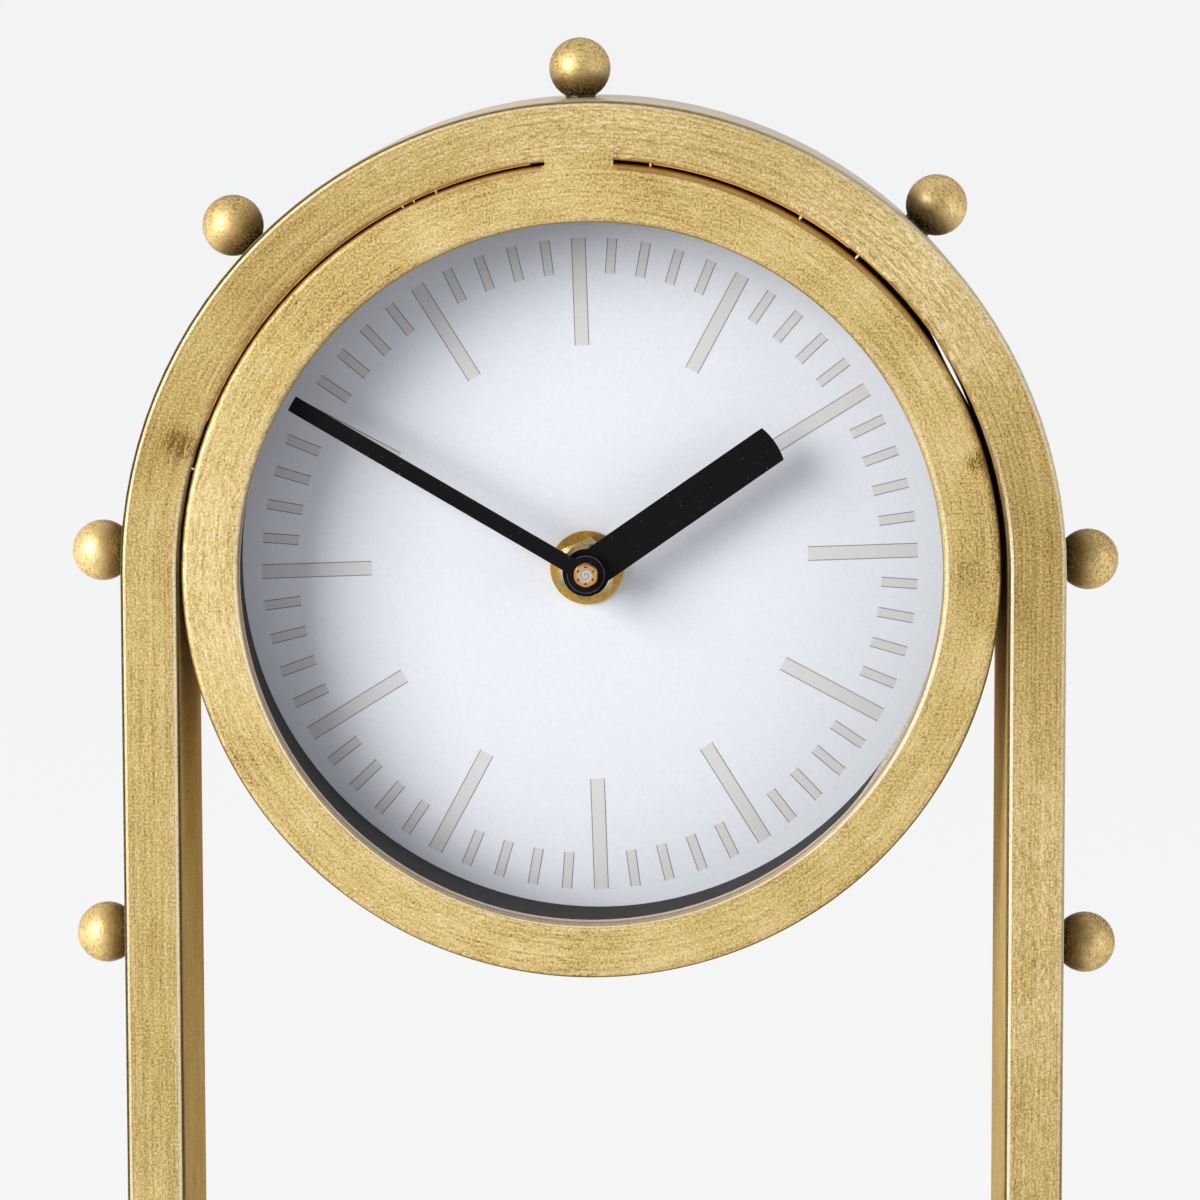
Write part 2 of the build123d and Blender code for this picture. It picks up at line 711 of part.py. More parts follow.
# Circuit
with BuildPart() as circuit_board:
    with BuildSketch(facing(third_layer + circuit_thick, circuit_place)):
        Rectangle(*circuit_size)
    extrude(amount=circuit_thick)

with BuildPart() as quartz_can:
    with Locations(
        Plane(
            origin=(
                axis_x + circuit_place[0],
                third_layer + circuit_thick + can_diameter / 2,
                axis_z + circuit_place[1],
            ),
            z_dir=(1, 0, 0),
        )
    ):
        Cylinder(can_diameter / 2, can_length)

# Cell and its contacts along the case's lower edge
with BuildPart() as battery:
    with Locations(
        Plane(origin=(axis_x + battery_left, battery_y, axis_z + bay_axis), z_dir=(1, 0, 0))
    ):
        Cylinder(battery_diameter / 2, battery_length, align=(Align.CENTER, Align.CENTER, Align.MIN))
        Cylinder(
            battery_nub / 2,
            battery_length + battery_nub_height,
            align=(Align.CENTER, Align.CENTER, Align.MIN),
        )

with BuildPart() as contact_positive:
    with BuildSketch(facing(cover_y, (inner_width / 2 - contact_sheet / 2, bay_axis))):
        Rectangle(contact_sheet, contact_width)
    extrude(amount=cover_y - chamber_y)

with BuildPart() as contact_negative:
    with BuildSketch(facing(cover_y, (-inner_width / 2, bay_axis))):
        with Locations((contact_sheet / 2, 0)):
            Rectangle(contact_sheet, contact_width)
        with BuildLine():
            ThreePointArc(
                (contact_sheet, contact_width / 2),
                (contact_sheet + contact_spring, 0),
                (contact_sheet, -contact_width / 2),
            )
            Line((contact_sheet, -contact_width / 2), (contact_sheet, -contact_width / 2 + contact_sheet))
            ThreePointArc(
                (contact_sheet, -contact_width / 2 + contact_sheet),
                (contact_spring, 0),
                (contact_sheet, contact_width / 2 - contact_sheet),
            )
            Line((contact_sheet, contact_width / 2 - contact_sheet), (contact_sheet, contact_width / 2))
        make_face()
    extrude(amount=cover_y - chamber_y)

# Movement case: gear chamber above, battery bay below, posts for the arbors
stator_posts = [
    (rotor_axis[0] + side * (stator_width - stator_bar) / 2, rotor_axis[1] + coil_rise / 2)
    for side in (-1, 1)
]
circuit_posts = [(circuit_place[0] + side * circuit_post_spread / 2, circuit_place[1]) for side in (-1, 1)]
with BuildPart() as movement_case:
    with BuildSketch(facing(cover_y)):
        with Locations((0, case_axis)):
            RectangleRounded(case_width, case_height, case_corner)
    extrude(amount=cover_y - case_front_y)
    with BuildSketch(facing(cover_y)):
        with Locations((0, chamber_axis)):
            Rectangle(inner_width, chamber_high - chamber_low)
        with Locations((0, bay_axis)):
            Rectangle(inner_width, bay_height)
    extrude(amount=cover_y - chamber_y, mode=Mode.SUBTRACT)
    fillet(movement_case.edges().filter_by(Axis.Y).group_by(SortBy.LENGTH)[0], case_wall / 2)
    for place in (third_axis, intermediate_axis, rotor_axis):
        add(rod(chamber_y, post_top_y, place, post_diameter))
        add(rod(motion_layer - running_fit, post_top_y, place, pivot_hole), mode=Mode.SUBTRACT)
    for place in stator_posts + circuit_posts:
        add(rod(chamber_y, third_layer, place, pad_post_diameter))
    add(rod(chamber_y, motion_layer + wheel_thick + pinion_reach, motion_axis, arbor))
    add(rod(chamber_y, motion_layer - pinion_reach, knob_axis, post_diameter))
    knob_foot_y = motion_layer - pivot_depth - running_fit
    add(rod(knob_foot_y, motion_layer - pinion_reach, knob_axis, pivot_hole), mode=Mode.SUBTRACT)
    add(rod(case_front_y, chamber_y, hands_axis, mount_diameter + 2 * hand_fit), mode=Mode.SUBTRACT)

with BuildPart() as movement_cover:
    with BuildSketch(facing(cover_back_y)):
        with Locations((0, case_axis)):
            RectangleRounded(case_width, case_height, case_corner)
        with Locations((0, chamber_low - case_wall)):
            Rectangle(case_width, case_height, align=(Align.CENTER, Align.MAX), mode=Mode.SUBTRACT)
    extrude(amount=case_wall)
    for place in (hands_axis, third_axis, intermediate_axis, rotor_axis):
        add(rod(cover_y, cover_y + pivot_depth + running_fit, place, pivot_hole), mode=Mode.SUBTRACT)
    add(rod(cover_y, cover_back_y, knob_axis, knob_shaft + 2 * running_fit), mode=Mode.SUBTRACT)

# Base: a folded tray with a board and felt inside, screwed to plugs in the legs
tray_low = felt_proud
tray_inside = base_height - base_sheet
board_low = felt_thick
screw_seat = board_low + base_screw_sink
leg_places = [(side * bend_radius, 0) for side in (-1, 1)]
screw_places = [(x, side * base_screw_spread / 2) for x, _ in leg_places for side in (-1, 1)]
base_inner_width = base_width - 2 * base_sheet
base_inner_depth = base_depth - 2 * base_sheet

with BuildPart() as leg_plugs:
    with BuildSketch(Plane.XY.offset(base_height)):
        with Locations(*leg_places):
            Rectangle(hollow_face - 2 * plug_fit, hollow_depth - 2 * plug_fit)
        with Locations(*screw_places):
            Circle(base_screw_diameter / 2 + base_screw_play / 2, mode=Mode.SUBTRACT)
    extrude(amount=plug_height)

with BuildPart() as base_tray:
    with BuildSketch(Plane.XY.offset(tray_low)):
        RectangleRounded(base_width, base_depth, base_corner)
    extrude(amount=base_height - tray_low)
    fillet(base_tray.faces().sort_by(Axis.Z)[-1].edges(), tube_edge)
    with BuildSketch(Plane.XY.offset(tray_low)):
        RectangleRounded(base_inner_width, base_inner_depth, base_corner - base_sheet)
    extrude(amount=tray_inside - tray_low, mode=Mode.SUBTRACT)
    with BuildSketch(Plane.XY.offset(tray_inside)):
        with Locations(*screw_places):
            Circle(base_screw_diameter / 2 + base_screw_play)
    extrude(amount=base_sheet, mode=Mode.SUBTRACT)

with BuildPart() as base_board:
    with BuildSketch(Plane.XY.offset(board_low)):
        RectangleRounded(
            base_inner_width - 2 * board_gap, base_inner_depth - 2 * board_gap, base_corner - base_sheet
        )
        with Locations(*screw_places):
            Circle(base_screw_diameter / 2 + base_screw_play, mode=Mode.SUBTRACT)
    extrude(amount=tray_inside - board_low)
    with BuildSketch(Plane.XY.offset(board_low)):
        with Locations(*screw_places):
            Circle(base_screw_head / 2 + base_screw_play)
    extrude(amount=base_screw_sink, mode=Mode.SUBTRACT)

with BuildPart() as base_felt:
    with BuildSketch():
        RectangleRounded(
            base_inner_width - 2 * (board_gap + felt_inset),
            base_inner_depth - 2 * (board_gap + felt_inset),
            base_corner,
        )
    extrude(amount=felt_thick)

with BuildPart() as base_screws:
    with BuildSketch(Plane.XY.offset(screw_seat)):
        with Locations(*screw_places):
            Circle(base_screw_head / 2)
    extrude(amount=-base_screw_head_height)
    with BuildSketch(Plane.XY.offset(screw_seat)):
        with Locations(*screw_places):
            Circle(base_screw_diameter / 2)
    extrude(amount=base_height - screw_seat + base_screw_bite)

pieces = {
    "arch_tube": arch_tube,
    "ball_studs": ball_studs,
    "head_ring": head_ring,
    "head_tab": head_tab,
    "dial_band": dial_band,
    "dial_face": dial_face,
    "dial_board": dial_board,
    "dial_clips": dial_clips,
    "clip_screws": clip_screws,
    "mounting_bush": mounting_bush,
    "mount_washer": mount_washer,
    "mount_nut": mount_nut,
    "rubber_washer": rubber_washer,
    "hour_hand": hour_hand,
    "minute_hand": minute_hand,
    "minute_bush": minute_bush,
    "minute_arbor": minute_arbor,
    "hour_wheel": hour_wheel,
    "motion_wheel": motion_wheel,
    "setting_knob": setting_knob,
    "centre_wheel": centre_wheel,
    "third_wheel": third_wheel,
    "seconds_wheel": seconds_wheel,
    "intermediate_wheel": intermediate_wheel,
    "rotor": rotor,
    "stator": stator,
    "coil_bobbin": coil_bobbin,
    "coil_winding": coil_winding,
    "circuit_board": circuit_board,
    "quartz_can": quartz_can,
    "battery": battery,
    "contact_positive": contact_positive,
    "contact_negative": contact_negative,
    "movement_case": movement_case,
    "movement_cover": movement_cover,
    "leg_plugs": leg_plugs,
    "base_tray": base_tray,
    "base_board": base_board,
    "base_felt": base_felt,
    "base_screws": base_screws,
}

os.makedirs("parts", exist_ok=True)
for name, piece in pieces.items():
    piece.part.label = name
    export_step(piece.part, f"parts/{name}.step")
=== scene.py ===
"""Looks of the arch table clock: its finishes, its printed dial, the studio and the camera.

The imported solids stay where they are. Each sub-assembly is a class that dresses its own pieces and builds
the few that the solids leave out. Sizes are in millimetres in the class fields and in metres in the meshes.
"""

import logging
import math
from collections.abc import Sequence
from dataclasses import dataclass, replace
from enum import Enum
from functools import cache

import bmesh
import bpy
from bmesh.types import BMesh, BMVert
from bpy.types import Material, Node, NodeSocket, NodeTree, Object
from mathutils import Euler, Matrix, Vector


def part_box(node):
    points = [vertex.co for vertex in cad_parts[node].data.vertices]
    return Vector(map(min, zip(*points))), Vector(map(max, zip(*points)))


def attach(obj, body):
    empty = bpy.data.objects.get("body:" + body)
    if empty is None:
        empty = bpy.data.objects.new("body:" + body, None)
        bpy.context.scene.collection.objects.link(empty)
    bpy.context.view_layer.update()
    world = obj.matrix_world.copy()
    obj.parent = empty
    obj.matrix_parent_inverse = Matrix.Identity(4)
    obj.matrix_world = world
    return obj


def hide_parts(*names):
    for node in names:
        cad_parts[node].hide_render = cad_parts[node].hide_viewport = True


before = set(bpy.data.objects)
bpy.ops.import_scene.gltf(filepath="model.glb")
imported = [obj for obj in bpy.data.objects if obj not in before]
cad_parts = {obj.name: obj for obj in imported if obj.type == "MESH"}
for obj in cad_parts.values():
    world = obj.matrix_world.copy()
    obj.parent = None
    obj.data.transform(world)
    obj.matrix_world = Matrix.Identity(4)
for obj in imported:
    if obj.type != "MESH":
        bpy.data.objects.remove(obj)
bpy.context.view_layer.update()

LOG = logging.getLogger("arch_clock")
Pair = tuple[float, float]
Triple = tuple[float, float, float]
Quad = tuple[float, float, float, float]
# What can feed an input of a node, and what feeds all of them, by name or in order
Source = Node | NodeSocket
Inputs = dict[str | int, object] | Sequence[object]
MM = 0.001
WHITE = "#FFFFFF"
# X and Z of the centres of the bend and of the clock head, in millimetres
BEND_CENTRE = (0.0, 260.0)
HEAD_CENTRE = (-0.4, 260.3)
# How far the gold runs past the tab on either side, in millimetres
JOINT_MARGIN = 0.6
# Detail and roughness of the noises in the gold
GOLD_NOISE = {"Detail": 3.0, "Roughness": 0.6}


class Grain(Enum):
    """The way the rubbing strokes run on a gilded piece."""

    ARCH = "along the bent tube"
    RING = "round the clock head"
    BASE = "along the base"


class Faces(Enum):
    """The faces of a piece on which a line of wear or of painted light shows."""

    FRONT = "front only"
    BOTH = "front and back"
    ALL = "all over"


def linear(colour: str) -> Quad:
    """Turns an sRGB hex colour into the linear colour that a shader takes.

    Args:
        colour: Six hex digits after a hash sign.

    Returns:
        Red, green, blue and an alpha of 1.
    """
    parts = [int(colour[i : i + 2], 16) / 255 for i in (1, 3, 5)]
    red, green, blue = (p / 12.92 if p <= 0.04045 else ((p + 0.055) / 1.055) ** 2.4 for p in parts)
    return (red, green, blue, 1.0)


def feed(node: Node, inputs: Inputs) -> None:
    """Fills or links a node's inputs.

    Args:
        node: The node.
        inputs: By name or in order, a value, the socket that feeds the input, or a node whose first working
            output does.
    """
    for name, source in inputs.items() if isinstance(inputs, dict) else enumerate(inputs):
        if isinstance(source, Node):
            source = next(output for output in source.outputs if output.enabled)
        if isinstance(source, NodeSocket):
            node.id_data.links.new(source, node.inputs[name])
        else:
            node.inputs[name].default_value = source


def add_node(tree: NodeTree, kind: str, inputs: Inputs = (), **settings: object) -> Node:
    """Adds a node, gives it its settings and fills or links its inputs.

    Args:
        tree: The material's or the world's node tree.
        kind: The node's type.
        inputs: What feeds its inputs, by name or in order.
        **settings: Attributes of the node.

    Returns:
        The new node.
    """
    node = tree.nodes.new(kind)
    for name, value in settings.items():
        setattr(node, name, value)
    feed(node, inputs)
    return node


def set_stops(ramp: Node, stops: Sequence[tuple[float, str] | tuple[float, str, float]]) -> None:
    """Gives a colour ramp its colours.

    Args:
        ramp: The ramp node.
        stops: Places from 0 to 1 with their hex colours, lowest first, and how far each covers what is
            under it.
    """
    elements = ramp.color_ramp.elements
    while len(elements) < len(stops):
        elements.new(1.0)
    for element, (place, colour, *cover) in zip(elements, stops, strict=True):
        element.position = place
        element.color = (*linear(colour)[:3], *(cover or [1.0]))


def new_material(name: str) -> tuple[Material, Node]:
    """Starts a material with an empty surface shader.

    Args:
        name: The material's name.

    Returns:
        The material and its surface shader.
    """
    material = bpy.data.materials.new(name)
    material.use_nodes = True
    tree = material.node_tree
    tree.nodes.clear()
    shader = add_node(tree, "ShaderNodeBsdfPrincipled")
    add_node(tree, "ShaderNodeOutputMaterial", {"Surface": shader})
    return material, shader


@dataclass(frozen=True)
class Finish:
    """What a piece is finished with."""

    name: str

    @cache
    def material(self) -> Material:
        """Builds the finish, once for all the pieces that have it.

        Returns:
            The material.
        """
        material, shader = new_material(self.name)
        self.paint(shader)
        return material

    def paint(self, shader: Node) -> None:
        """Gives a surface shader the looks of the finish."""
        raise NotImplementedError


def dress(piece: Object, material: Material) -> None:
    """Puts one material on the whole of a piece.

    Args:
        piece: The object.
        material: Its finish.
    """
    piece.data.materials.clear()
    piece.data.materials.append(material)
    LOG.info("%s is dressed in %s", piece.name, material.name)


def dress_nodes(finish: Finish, *nodes: str) -> None:
    """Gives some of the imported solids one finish.

    Args:
        finish: The finish.
        *nodes: Names of the solids' nodes.
    """
    for node in nodes:
        dress(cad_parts[node], finish.material())


def object_from(mesh: BMesh, name: str) -> Object:
    """Turns a finished mesh into an object.

    Args:
        mesh: The mesh, in metres in the shared frame. It is freed.
        name: The object's name.

    Returns:
        The new object.
    """
    data = bpy.data.meshes.new(name)
    mesh.to_mesh(data)
    mesh.free()
    made = bpy.data.objects.new(name, data)
    bpy.context.scene.collection.objects.link(made)
    return made


def piece_from(mesh: BMesh, name: str, body: str, finish: Finish) -> Object:
    """Turns a finished mesh into a piece that rides on one of the solids' bodies.

    Args:
        mesh: The mesh, in metres in the shared frame. It is freed.
        name: The piece's name.
        body: The body it moves with.
        finish: Its finish.

    Returns:
        The new object.
    """
    bmesh.ops.recalc_face_normals(mesh, faces=mesh.faces)
    piece = object_from(mesh, name)
    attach(piece, body)
    dress(piece, finish.material())
    return piece


def joint_span() -> Pair:
    """Finds where gold runs over the joint of the ring and the arch.

    Returns:
        X of its left and right end in millimetres.
    """
    low, high = (corner[0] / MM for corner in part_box("head_tab"))
    return low - JOINT_MARGIN, high + JOINT_MARGIN


@dataclass(frozen=True)
class ArcStrip:
    """A strip of rectangular section that runs round an axis from front to back.

    It lies between two radii and two depths in millimetres, and runs between pairs of angles in degrees,
    anticlockwise from three o'clock as seen from the front.
    """

    reach: Pair
    depth: Pair
    arcs: tuple[Pair, ...]
    steps: int

    @property
    def middle(self) -> float:
        """The radius halfway through the strip, in millimetres."""
        return sum(self.reach) / 2

    def mesh(self, centre: Pair) -> BMesh:
        """Spins the section along each arc.

        Args:
            centre: X and Z of the axis in millimetres.

        Returns:
            The mesh, in metres.
        """
        mesh = bmesh.new()
        hub = Vector((centre[0], 0.0, centre[1])) * MM
        (inner, outer), (front, back) = self.reach, self.depth
        corners = [(inner, front), (outer, front), (outer, back), (inner, back)]
        for first, last in self.arcs:
            whole = last - first >= 360.0
            turn = Matrix.Rotation(-math.radians(first), 3, "Y")
            verts = [mesh.verts.new(hub + turn @ Vector((r, y, 0.0)) * MM) for r, y in corners]
            section = mesh.faces.new(verts)
            start = [section, *section.edges, *section.verts]
            if whole:
                start.remove(section)
                mesh.faces.remove(section)
            bmesh.ops.spin(
                mesh,
                geom=start,
                cent=hub,
                axis=(0, -1, 0),
                angle=math.radians(last - first),
                steps=self.steps,
                use_merge=whole,
            )
        return mesh


@dataclass(frozen=True)
class Bulge:
    """A stretch of a strip that stands in: its middle and spread in degrees, its height in millimetres."""

    middle: float
    spread: float
    height: float


@dataclass(frozen=True)
class WearAndLightBand:
    """A line along a gilded piece: wear in the finish, or a highlight, reflection or shade painted along an
    edge.

    It lies between two distances from the bend's centre, in millimetres. The stops run from the first to the
    second distance, each with its colour and how far it covers the gold. A line that leans has a strength at
    the centre's height, as a share of the whole, and the change of that share per millimetre sideways and
    upwards. It grows fainter where the share falls or, if it doesn't fade, narrower. The depth is where it
    starts on the front or back, in millimetres from the middle.
    """

    start: float
    end: float
    stops: tuple[tuple[float, str, float], ...]
    faces: Faces = Faces.BOTH
    lean: Triple | None = None
    fades: bool = True
    least_width: float = 0.02
    gilded_over: Pair | None = None
    depth: Pair = (22.9, 23.3)


@dataclass(frozen=True)
class ToneSpot:
    """A place on the front where the gold is lighter or darker.

    It has an X, a Z and a reach in millimetres, and a shift of the gold's tone in its middle.
    """

    across: float
    up: float
    reach: float
    shift: float


class Places:
    """Where a point of a piece lies, in millimetres, for the patterns of a finish."""

    def __init__(self, tree: NodeTree) -> None:
        """Adds the nodes that give the place and its three parts.

        Args:
            tree: The material's node tree.
        """
        coordinates = add_node(tree, "ShaderNodeTexCoord")
        metres = {0: coordinates.outputs["Object"], "Scale": 1 / MM}
        self.tree = tree
        self.point = add_node(tree, "ShaderNodeVectorMath", metres, operation="SCALE")
        self.x, self.y, self.z = add_node(tree, "ShaderNodeSeparateXYZ", (self.point,)).outputs


@dataclass(frozen=True)
class RubbedGold(Finish):
    """Black-lacquered steel with gold paint rubbed over it by hand.

    The rub leaves a fine broken grain along the tube, longer faint strokes, and darker patches where the
    lacquer shows through. Gold paint is a flake paint, so it is part metal, part diffuse. The shares are how
    far flecks, dashes, hairlines and patches change the tone. A piece can have a darker waist, the band round
    its middle that faces sideways, as painted shade, which fades between two distances from its middle.
    """

    grain: Grain
    centre: Pair = BEND_CENTRE
    bands: tuple[WearAndLightBand, ...] = ()
    tone_spots: tuple[ToneSpot, ...] = ()
    shares: Quad = (1.05, 0.4, 0.45, 0.35)
    dark: str = "#7A5A2A"
    middle: str = "#CAAE6D"
    light: str = "#F3E0AE"
    tones: Triple = (0.2, 0.5, 0.8)
    edge_tint: str = "#9C7B3C"
    metallic: float = 0.35
    specular: float = 0.0
    roughness: float = 0.45
    rough_spread: Pair = (0.12, -0.08)
    gloss_from: float | None = None
    gloss_edge: float = 0.2
    gloss: float = 1.0
    gloss_roughness: float = 0.25
    shaded_waist: Triple | None = None
    fleck: float = 0.5
    dash: Pair = (0.4, 1.6)
    hairline: Pair = (0.45, 22.0)
    patch: float = 15.0
    front: float = -25.0
    stroke_height: float = 0.05
    stroke_strength: float = 0.25
    rub_streaks: Quad = (0.42, 0.58, 0.3, 1.7)
    band_breaks: Quad = (0.3, 0.55, 0.55, 1.0)

    def paint(self, shader: Node) -> None:
        """Lays the gold, its lighter and darker places, and its lines of wear and of painted light.

        Args:
            shader: The material's surface shader.
        """
        tree = shader.id_data
        at = Places(tree)
        across = self._across(at)
        flecks, patches = (
            add_node(tree, "ShaderNodeTexNoise", {"Vector": at.point, "Scale": 1 / size, **GOLD_NOISE})
            for size in (self.fleck, self.patch)
        )
        dashes, hairlines = (self._strokes(at, across, *size) for size in (self.dash, self.hairline))
        tone: float | Node = 0.5 - 0.5 * sum(self.shares)
        for source, share in zip((flecks, dashes, hairlines, patches), self.shares, strict=True):
            tone = add_node(tree, "ShaderNodeMath", (source, share, tone), operation="MULTIPLY_ADD")
        streaks = add_node(tree, "ShaderNodeMapRange", (dashes, *self.rub_streaks))
        for rub in self.tone_spots:
            spot = (rub.across, self.front, rub.up)
            away = add_node(tree, "ShaderNodeVectorMath", (at.point, spot), operation="DISTANCE")
            ends = (0.0, rub.reach, rub.shift, 0.0)
            fade = add_node(tree, "ShaderNodeMapRange", (away, *ends), interpolation_type="SMOOTHSTEP")
            tone = add_node(tree, "ShaderNodeMath", (fade, streaks, tone), operation="MULTIPLY_ADD")
        # painted shade: a darker waist round the piece's middle, where it faces sideways
        if self.shaded_waist:
            depth = add_node(tree, "ShaderNodeMath", (at.y,), operation="ABSOLUTE")
            ends = (*self.shaded_waist, 0.0)
            thin = add_node(tree, "ShaderNodeMapRange", (depth, *ends), interpolation_type="SMOOTHSTEP")
            tone = add_node(tree, "ShaderNodeMath", (tone, thin), operation="ADD")
        colour = add_node(tree, "ShaderNodeValToRGB", (tone,))
        set_stops(colour, list(zip(self.tones, (self.dark, self.middle, self.light), strict=True)))
        # lines of wear, and of painted highlight, reflection and shade, along the edges
        for band in self.bands:
            cover, tint = self._band(at, across, flecks, band)
            colour = add_node(tree, "ShaderNodeMix", {0: cover, 6: colour, 7: tint}, data_type="RGBA")
        if self.gloss_from:
            # the side that the rubbing cloth missed keeps the gloss of its clear lacquer
            ends = (self.gloss_from, self.gloss_from + self.gloss_edge, 0.0, self.gloss)
            coat = add_node(tree, "ShaderNodeMapRange", (across, *ends))
            feed(shader, {"Coat Weight": coat, "Coat Roughness": self.gloss_roughness})
        worn, rubbed = (self.roughness + change for change in self.rough_spread)
        rough = add_node(tree, "ShaderNodeMapRange", (tone, 0.0, 1.0, worn, rubbed))
        relief = {"Strength": self.stroke_strength, "Distance": self.stroke_height * MM, "Height": dashes}
        bump = add_node(tree, "ShaderNodeBump", relief)
        feed(shader, {"Base Color": colour, "Roughness": rough, "Normal": bump, "Metallic": self.metallic})
        feed(shader, {"Specular IOR Level": self.specular, "Specular Tint": linear(self.edge_tint)})

    def _across(self, at: Places) -> Source:
        """Measures across the grain: from the bend's centre, or up the base.

        Args:
            at: The place in millimetres.

        Returns:
            What gives the distance in millimetres.
        """
        if self.grain is Grain.BASE:
            return at.z
        hub = (self.centre[0], 0.0, self.centre[1])
        spoke = add_node(at.tree, "ShaderNodeVectorMath", (at.point, hub), operation="SUBTRACT")
        if self.grain is Grain.ARCH:
            # the legs run straight down from the bend's centre
            lowest = (-1 / MM, -1 / MM, 0.0)
            spoke = add_node(at.tree, "ShaderNodeVectorMath", (spoke, lowest), operation="MAXIMUM")
        flat = add_node(at.tree, "ShaderNodeVectorMath", (spoke, (1.0, 0.0, 1.0)), operation="MULTIPLY")
        return add_node(at.tree, "ShaderNodeVectorMath", (flat,), operation="LENGTH")

    def _strokes(self, at: Places, across: Source, width: float, length: float) -> Node:
        """Adds a pattern of strokes that run the way of the grain.

        Args:
            at: The place in millimetres.
            across: The distance across the grain in millimetres.
            width: Width of a stroke in millimetres.
            length: Length of a stroke in millimetres.

        Returns:
            The noise node.
        """
        shrunk = [
            add_node(at.tree, "ShaderNodeMath", (source, 1 / size), operation="MULTIPLY")
            for source, size in ((across, width), (at.y, width), (at.x, length), (at.z, length))
        ]
        vector = add_node(at.tree, "ShaderNodeCombineXYZ", shrunk[:3])
        inputs = {"Vector": vector, "W": shrunk[3], "Scale": 1.0, **GOLD_NOISE}
        return add_node(at.tree, "ShaderNodeTexNoise", inputs, noise_dimensions="4D")

    def _band(self, at: Places, across: Source, flecks: Node, band: WearAndLightBand) -> tuple[Source, NodeSocket]:
        """Adds one line of wear or of painted light, broken up by the flecks.

        Args:
            at: The place in millimetres.
            across: The distance across the grain in millimetres.
            flecks: The noise that breaks the line up.
            band: The line.

        Returns:
            How far the line covers the gold, and its colour.
        """
        tree = at.tree
        start: float | Node = band.start
        covers: list[Source] = []
        if band.lean:
            # the line grows towards one side of the piece
            level, sideways, upwards = band.lean
            slope = (sideways, 0.0, upwards)
            reach = add_node(tree, "ShaderNodeVectorMath", (at.point, slope), operation="DOT_PRODUCT")
            least = sideways * self.centre[0] + upwards * self.centre[1] - level
            ends = (0.0, 1.0) if band.fades else (band.end + band.least_width, band.start)
            grown = add_node(tree, "ShaderNodeMapRange", (reach, least, least + 1.0, *ends))
            if band.fades:
                covers.append(grown)
            else:
                start = grown
        along = add_node(tree, "ShaderNodeMapRange", (across, start, band.end))
        ramp = add_node(tree, "ShaderNodeValToRGB", (along,))
        set_stops(ramp, band.stops)
        broken = add_node(tree, "ShaderNodeMapRange", (flecks, *self.band_breaks))
        covers += [ramp.outputs["Alpha"], broken]
        if band.faces is not Faces.ALL:
            operation, second = ("ABSOLUTE", 0.0) if band.faces is Faces.BOTH else ("MULTIPLY", -1.0)
            depth = add_node(tree, "ShaderNodeMath", (at.y, second), operation=operation)
            covers.append(add_node(tree, "ShaderNodeMapRange", (depth, *band.depth)))
        if band.gilded_over:
            # where the joint of the two tubes is filled, the gold runs over the line
            low, high = band.gilded_over
            span = ((low + high) / 2, (high - low) / 2)
            aside = add_node(tree, "ShaderNodeMath", (at.x, *span), operation="COMPARE")
            above = add_node(tree, "ShaderNodeMath", (at.z, self.centre[1]), operation="GREATER_THAN")
            joint = add_node(tree, "ShaderNodeMath", (aside, above), operation="MULTIPLY")
            covers.append(add_node(tree, "ShaderNodeMath", (1.0, joint), operation="SUBTRACT"))
        cover = covers[0]
        for other in covers[1:]:
            cover = add_node(tree, "ShaderNodeMath", (cover, other), operation="MULTIPLY")
        return cover, ramp.outputs["Color"]


@dataclass(frozen=True)
class Surface(Finish):
    """A plain material with a fine grain in its colour and, where it has one, in its surface.

    The tones are the noise's levels at which the grain's colour ends and the plain one starts. A speck shows
    at the noise's highest levels.
    """

    colour: str
    grain_colour: str
    metallic: float = 0.0
    roughness: float = 0.5
    grain: float = 1.0
    grain_stretch: Triple = (1.0, 1.0, 1.0)
    tones: Pair = (0.3, 0.64)
    noise_detail: float = 4.0
    noise_roughness: float = 0.6
    bump: float = 0.0
    bump_strength: float = 0.5
    specular: float = 0.5
    coat: float = 0.0
    sheen: float = 0.0
    speck: str = ""
    speck_tones: Pair = (0.69, 0.73)

    def paint(self, shader: Node) -> None:
        """Lays the colour and its grain.

        Args:
            shader: The material's surface shader.
        """
        tree = shader.id_data
        coordinates = add_node(tree, "ShaderNodeTexCoord")
        scale = [share / (self.grain * MM) for share in self.grain_stretch]
        place = {"Vector": coordinates.outputs["Object"], "Scale": scale}
        mapping = add_node(tree, "ShaderNodeMapping", place)
        pattern = {"Scale": 1.0, "Detail": self.noise_detail, "Roughness": self.noise_roughness}
        noise = add_node(tree, "ShaderNodeTexNoise", {"Vector": mapping, **pattern})
        colours = zip(self.tones, (self.grain_colour, self.colour), strict=True)
        specks = zip(self.speck_tones, (self.colour, self.speck), strict=True) if self.speck else ()
        ramp = add_node(tree, "ShaderNodeValToRGB", (noise,))
        set_stops(ramp, [*colours, *specks])
        feed(shader, {"Base Color": ramp, "Metallic": self.metallic, "Roughness": self.roughness})
        feed(shader, {"Specular IOR Level": self.specular, "Coat Weight": self.coat})
        feed(shader, {"Sheen Weight": self.sheen})
        if self.bump:
            relief = {"Strength": self.bump_strength, "Distance": self.bump * MM, "Height": noise}
            feed(shader, {"Normal": add_node(tree, "ShaderNodeBump", relief)})


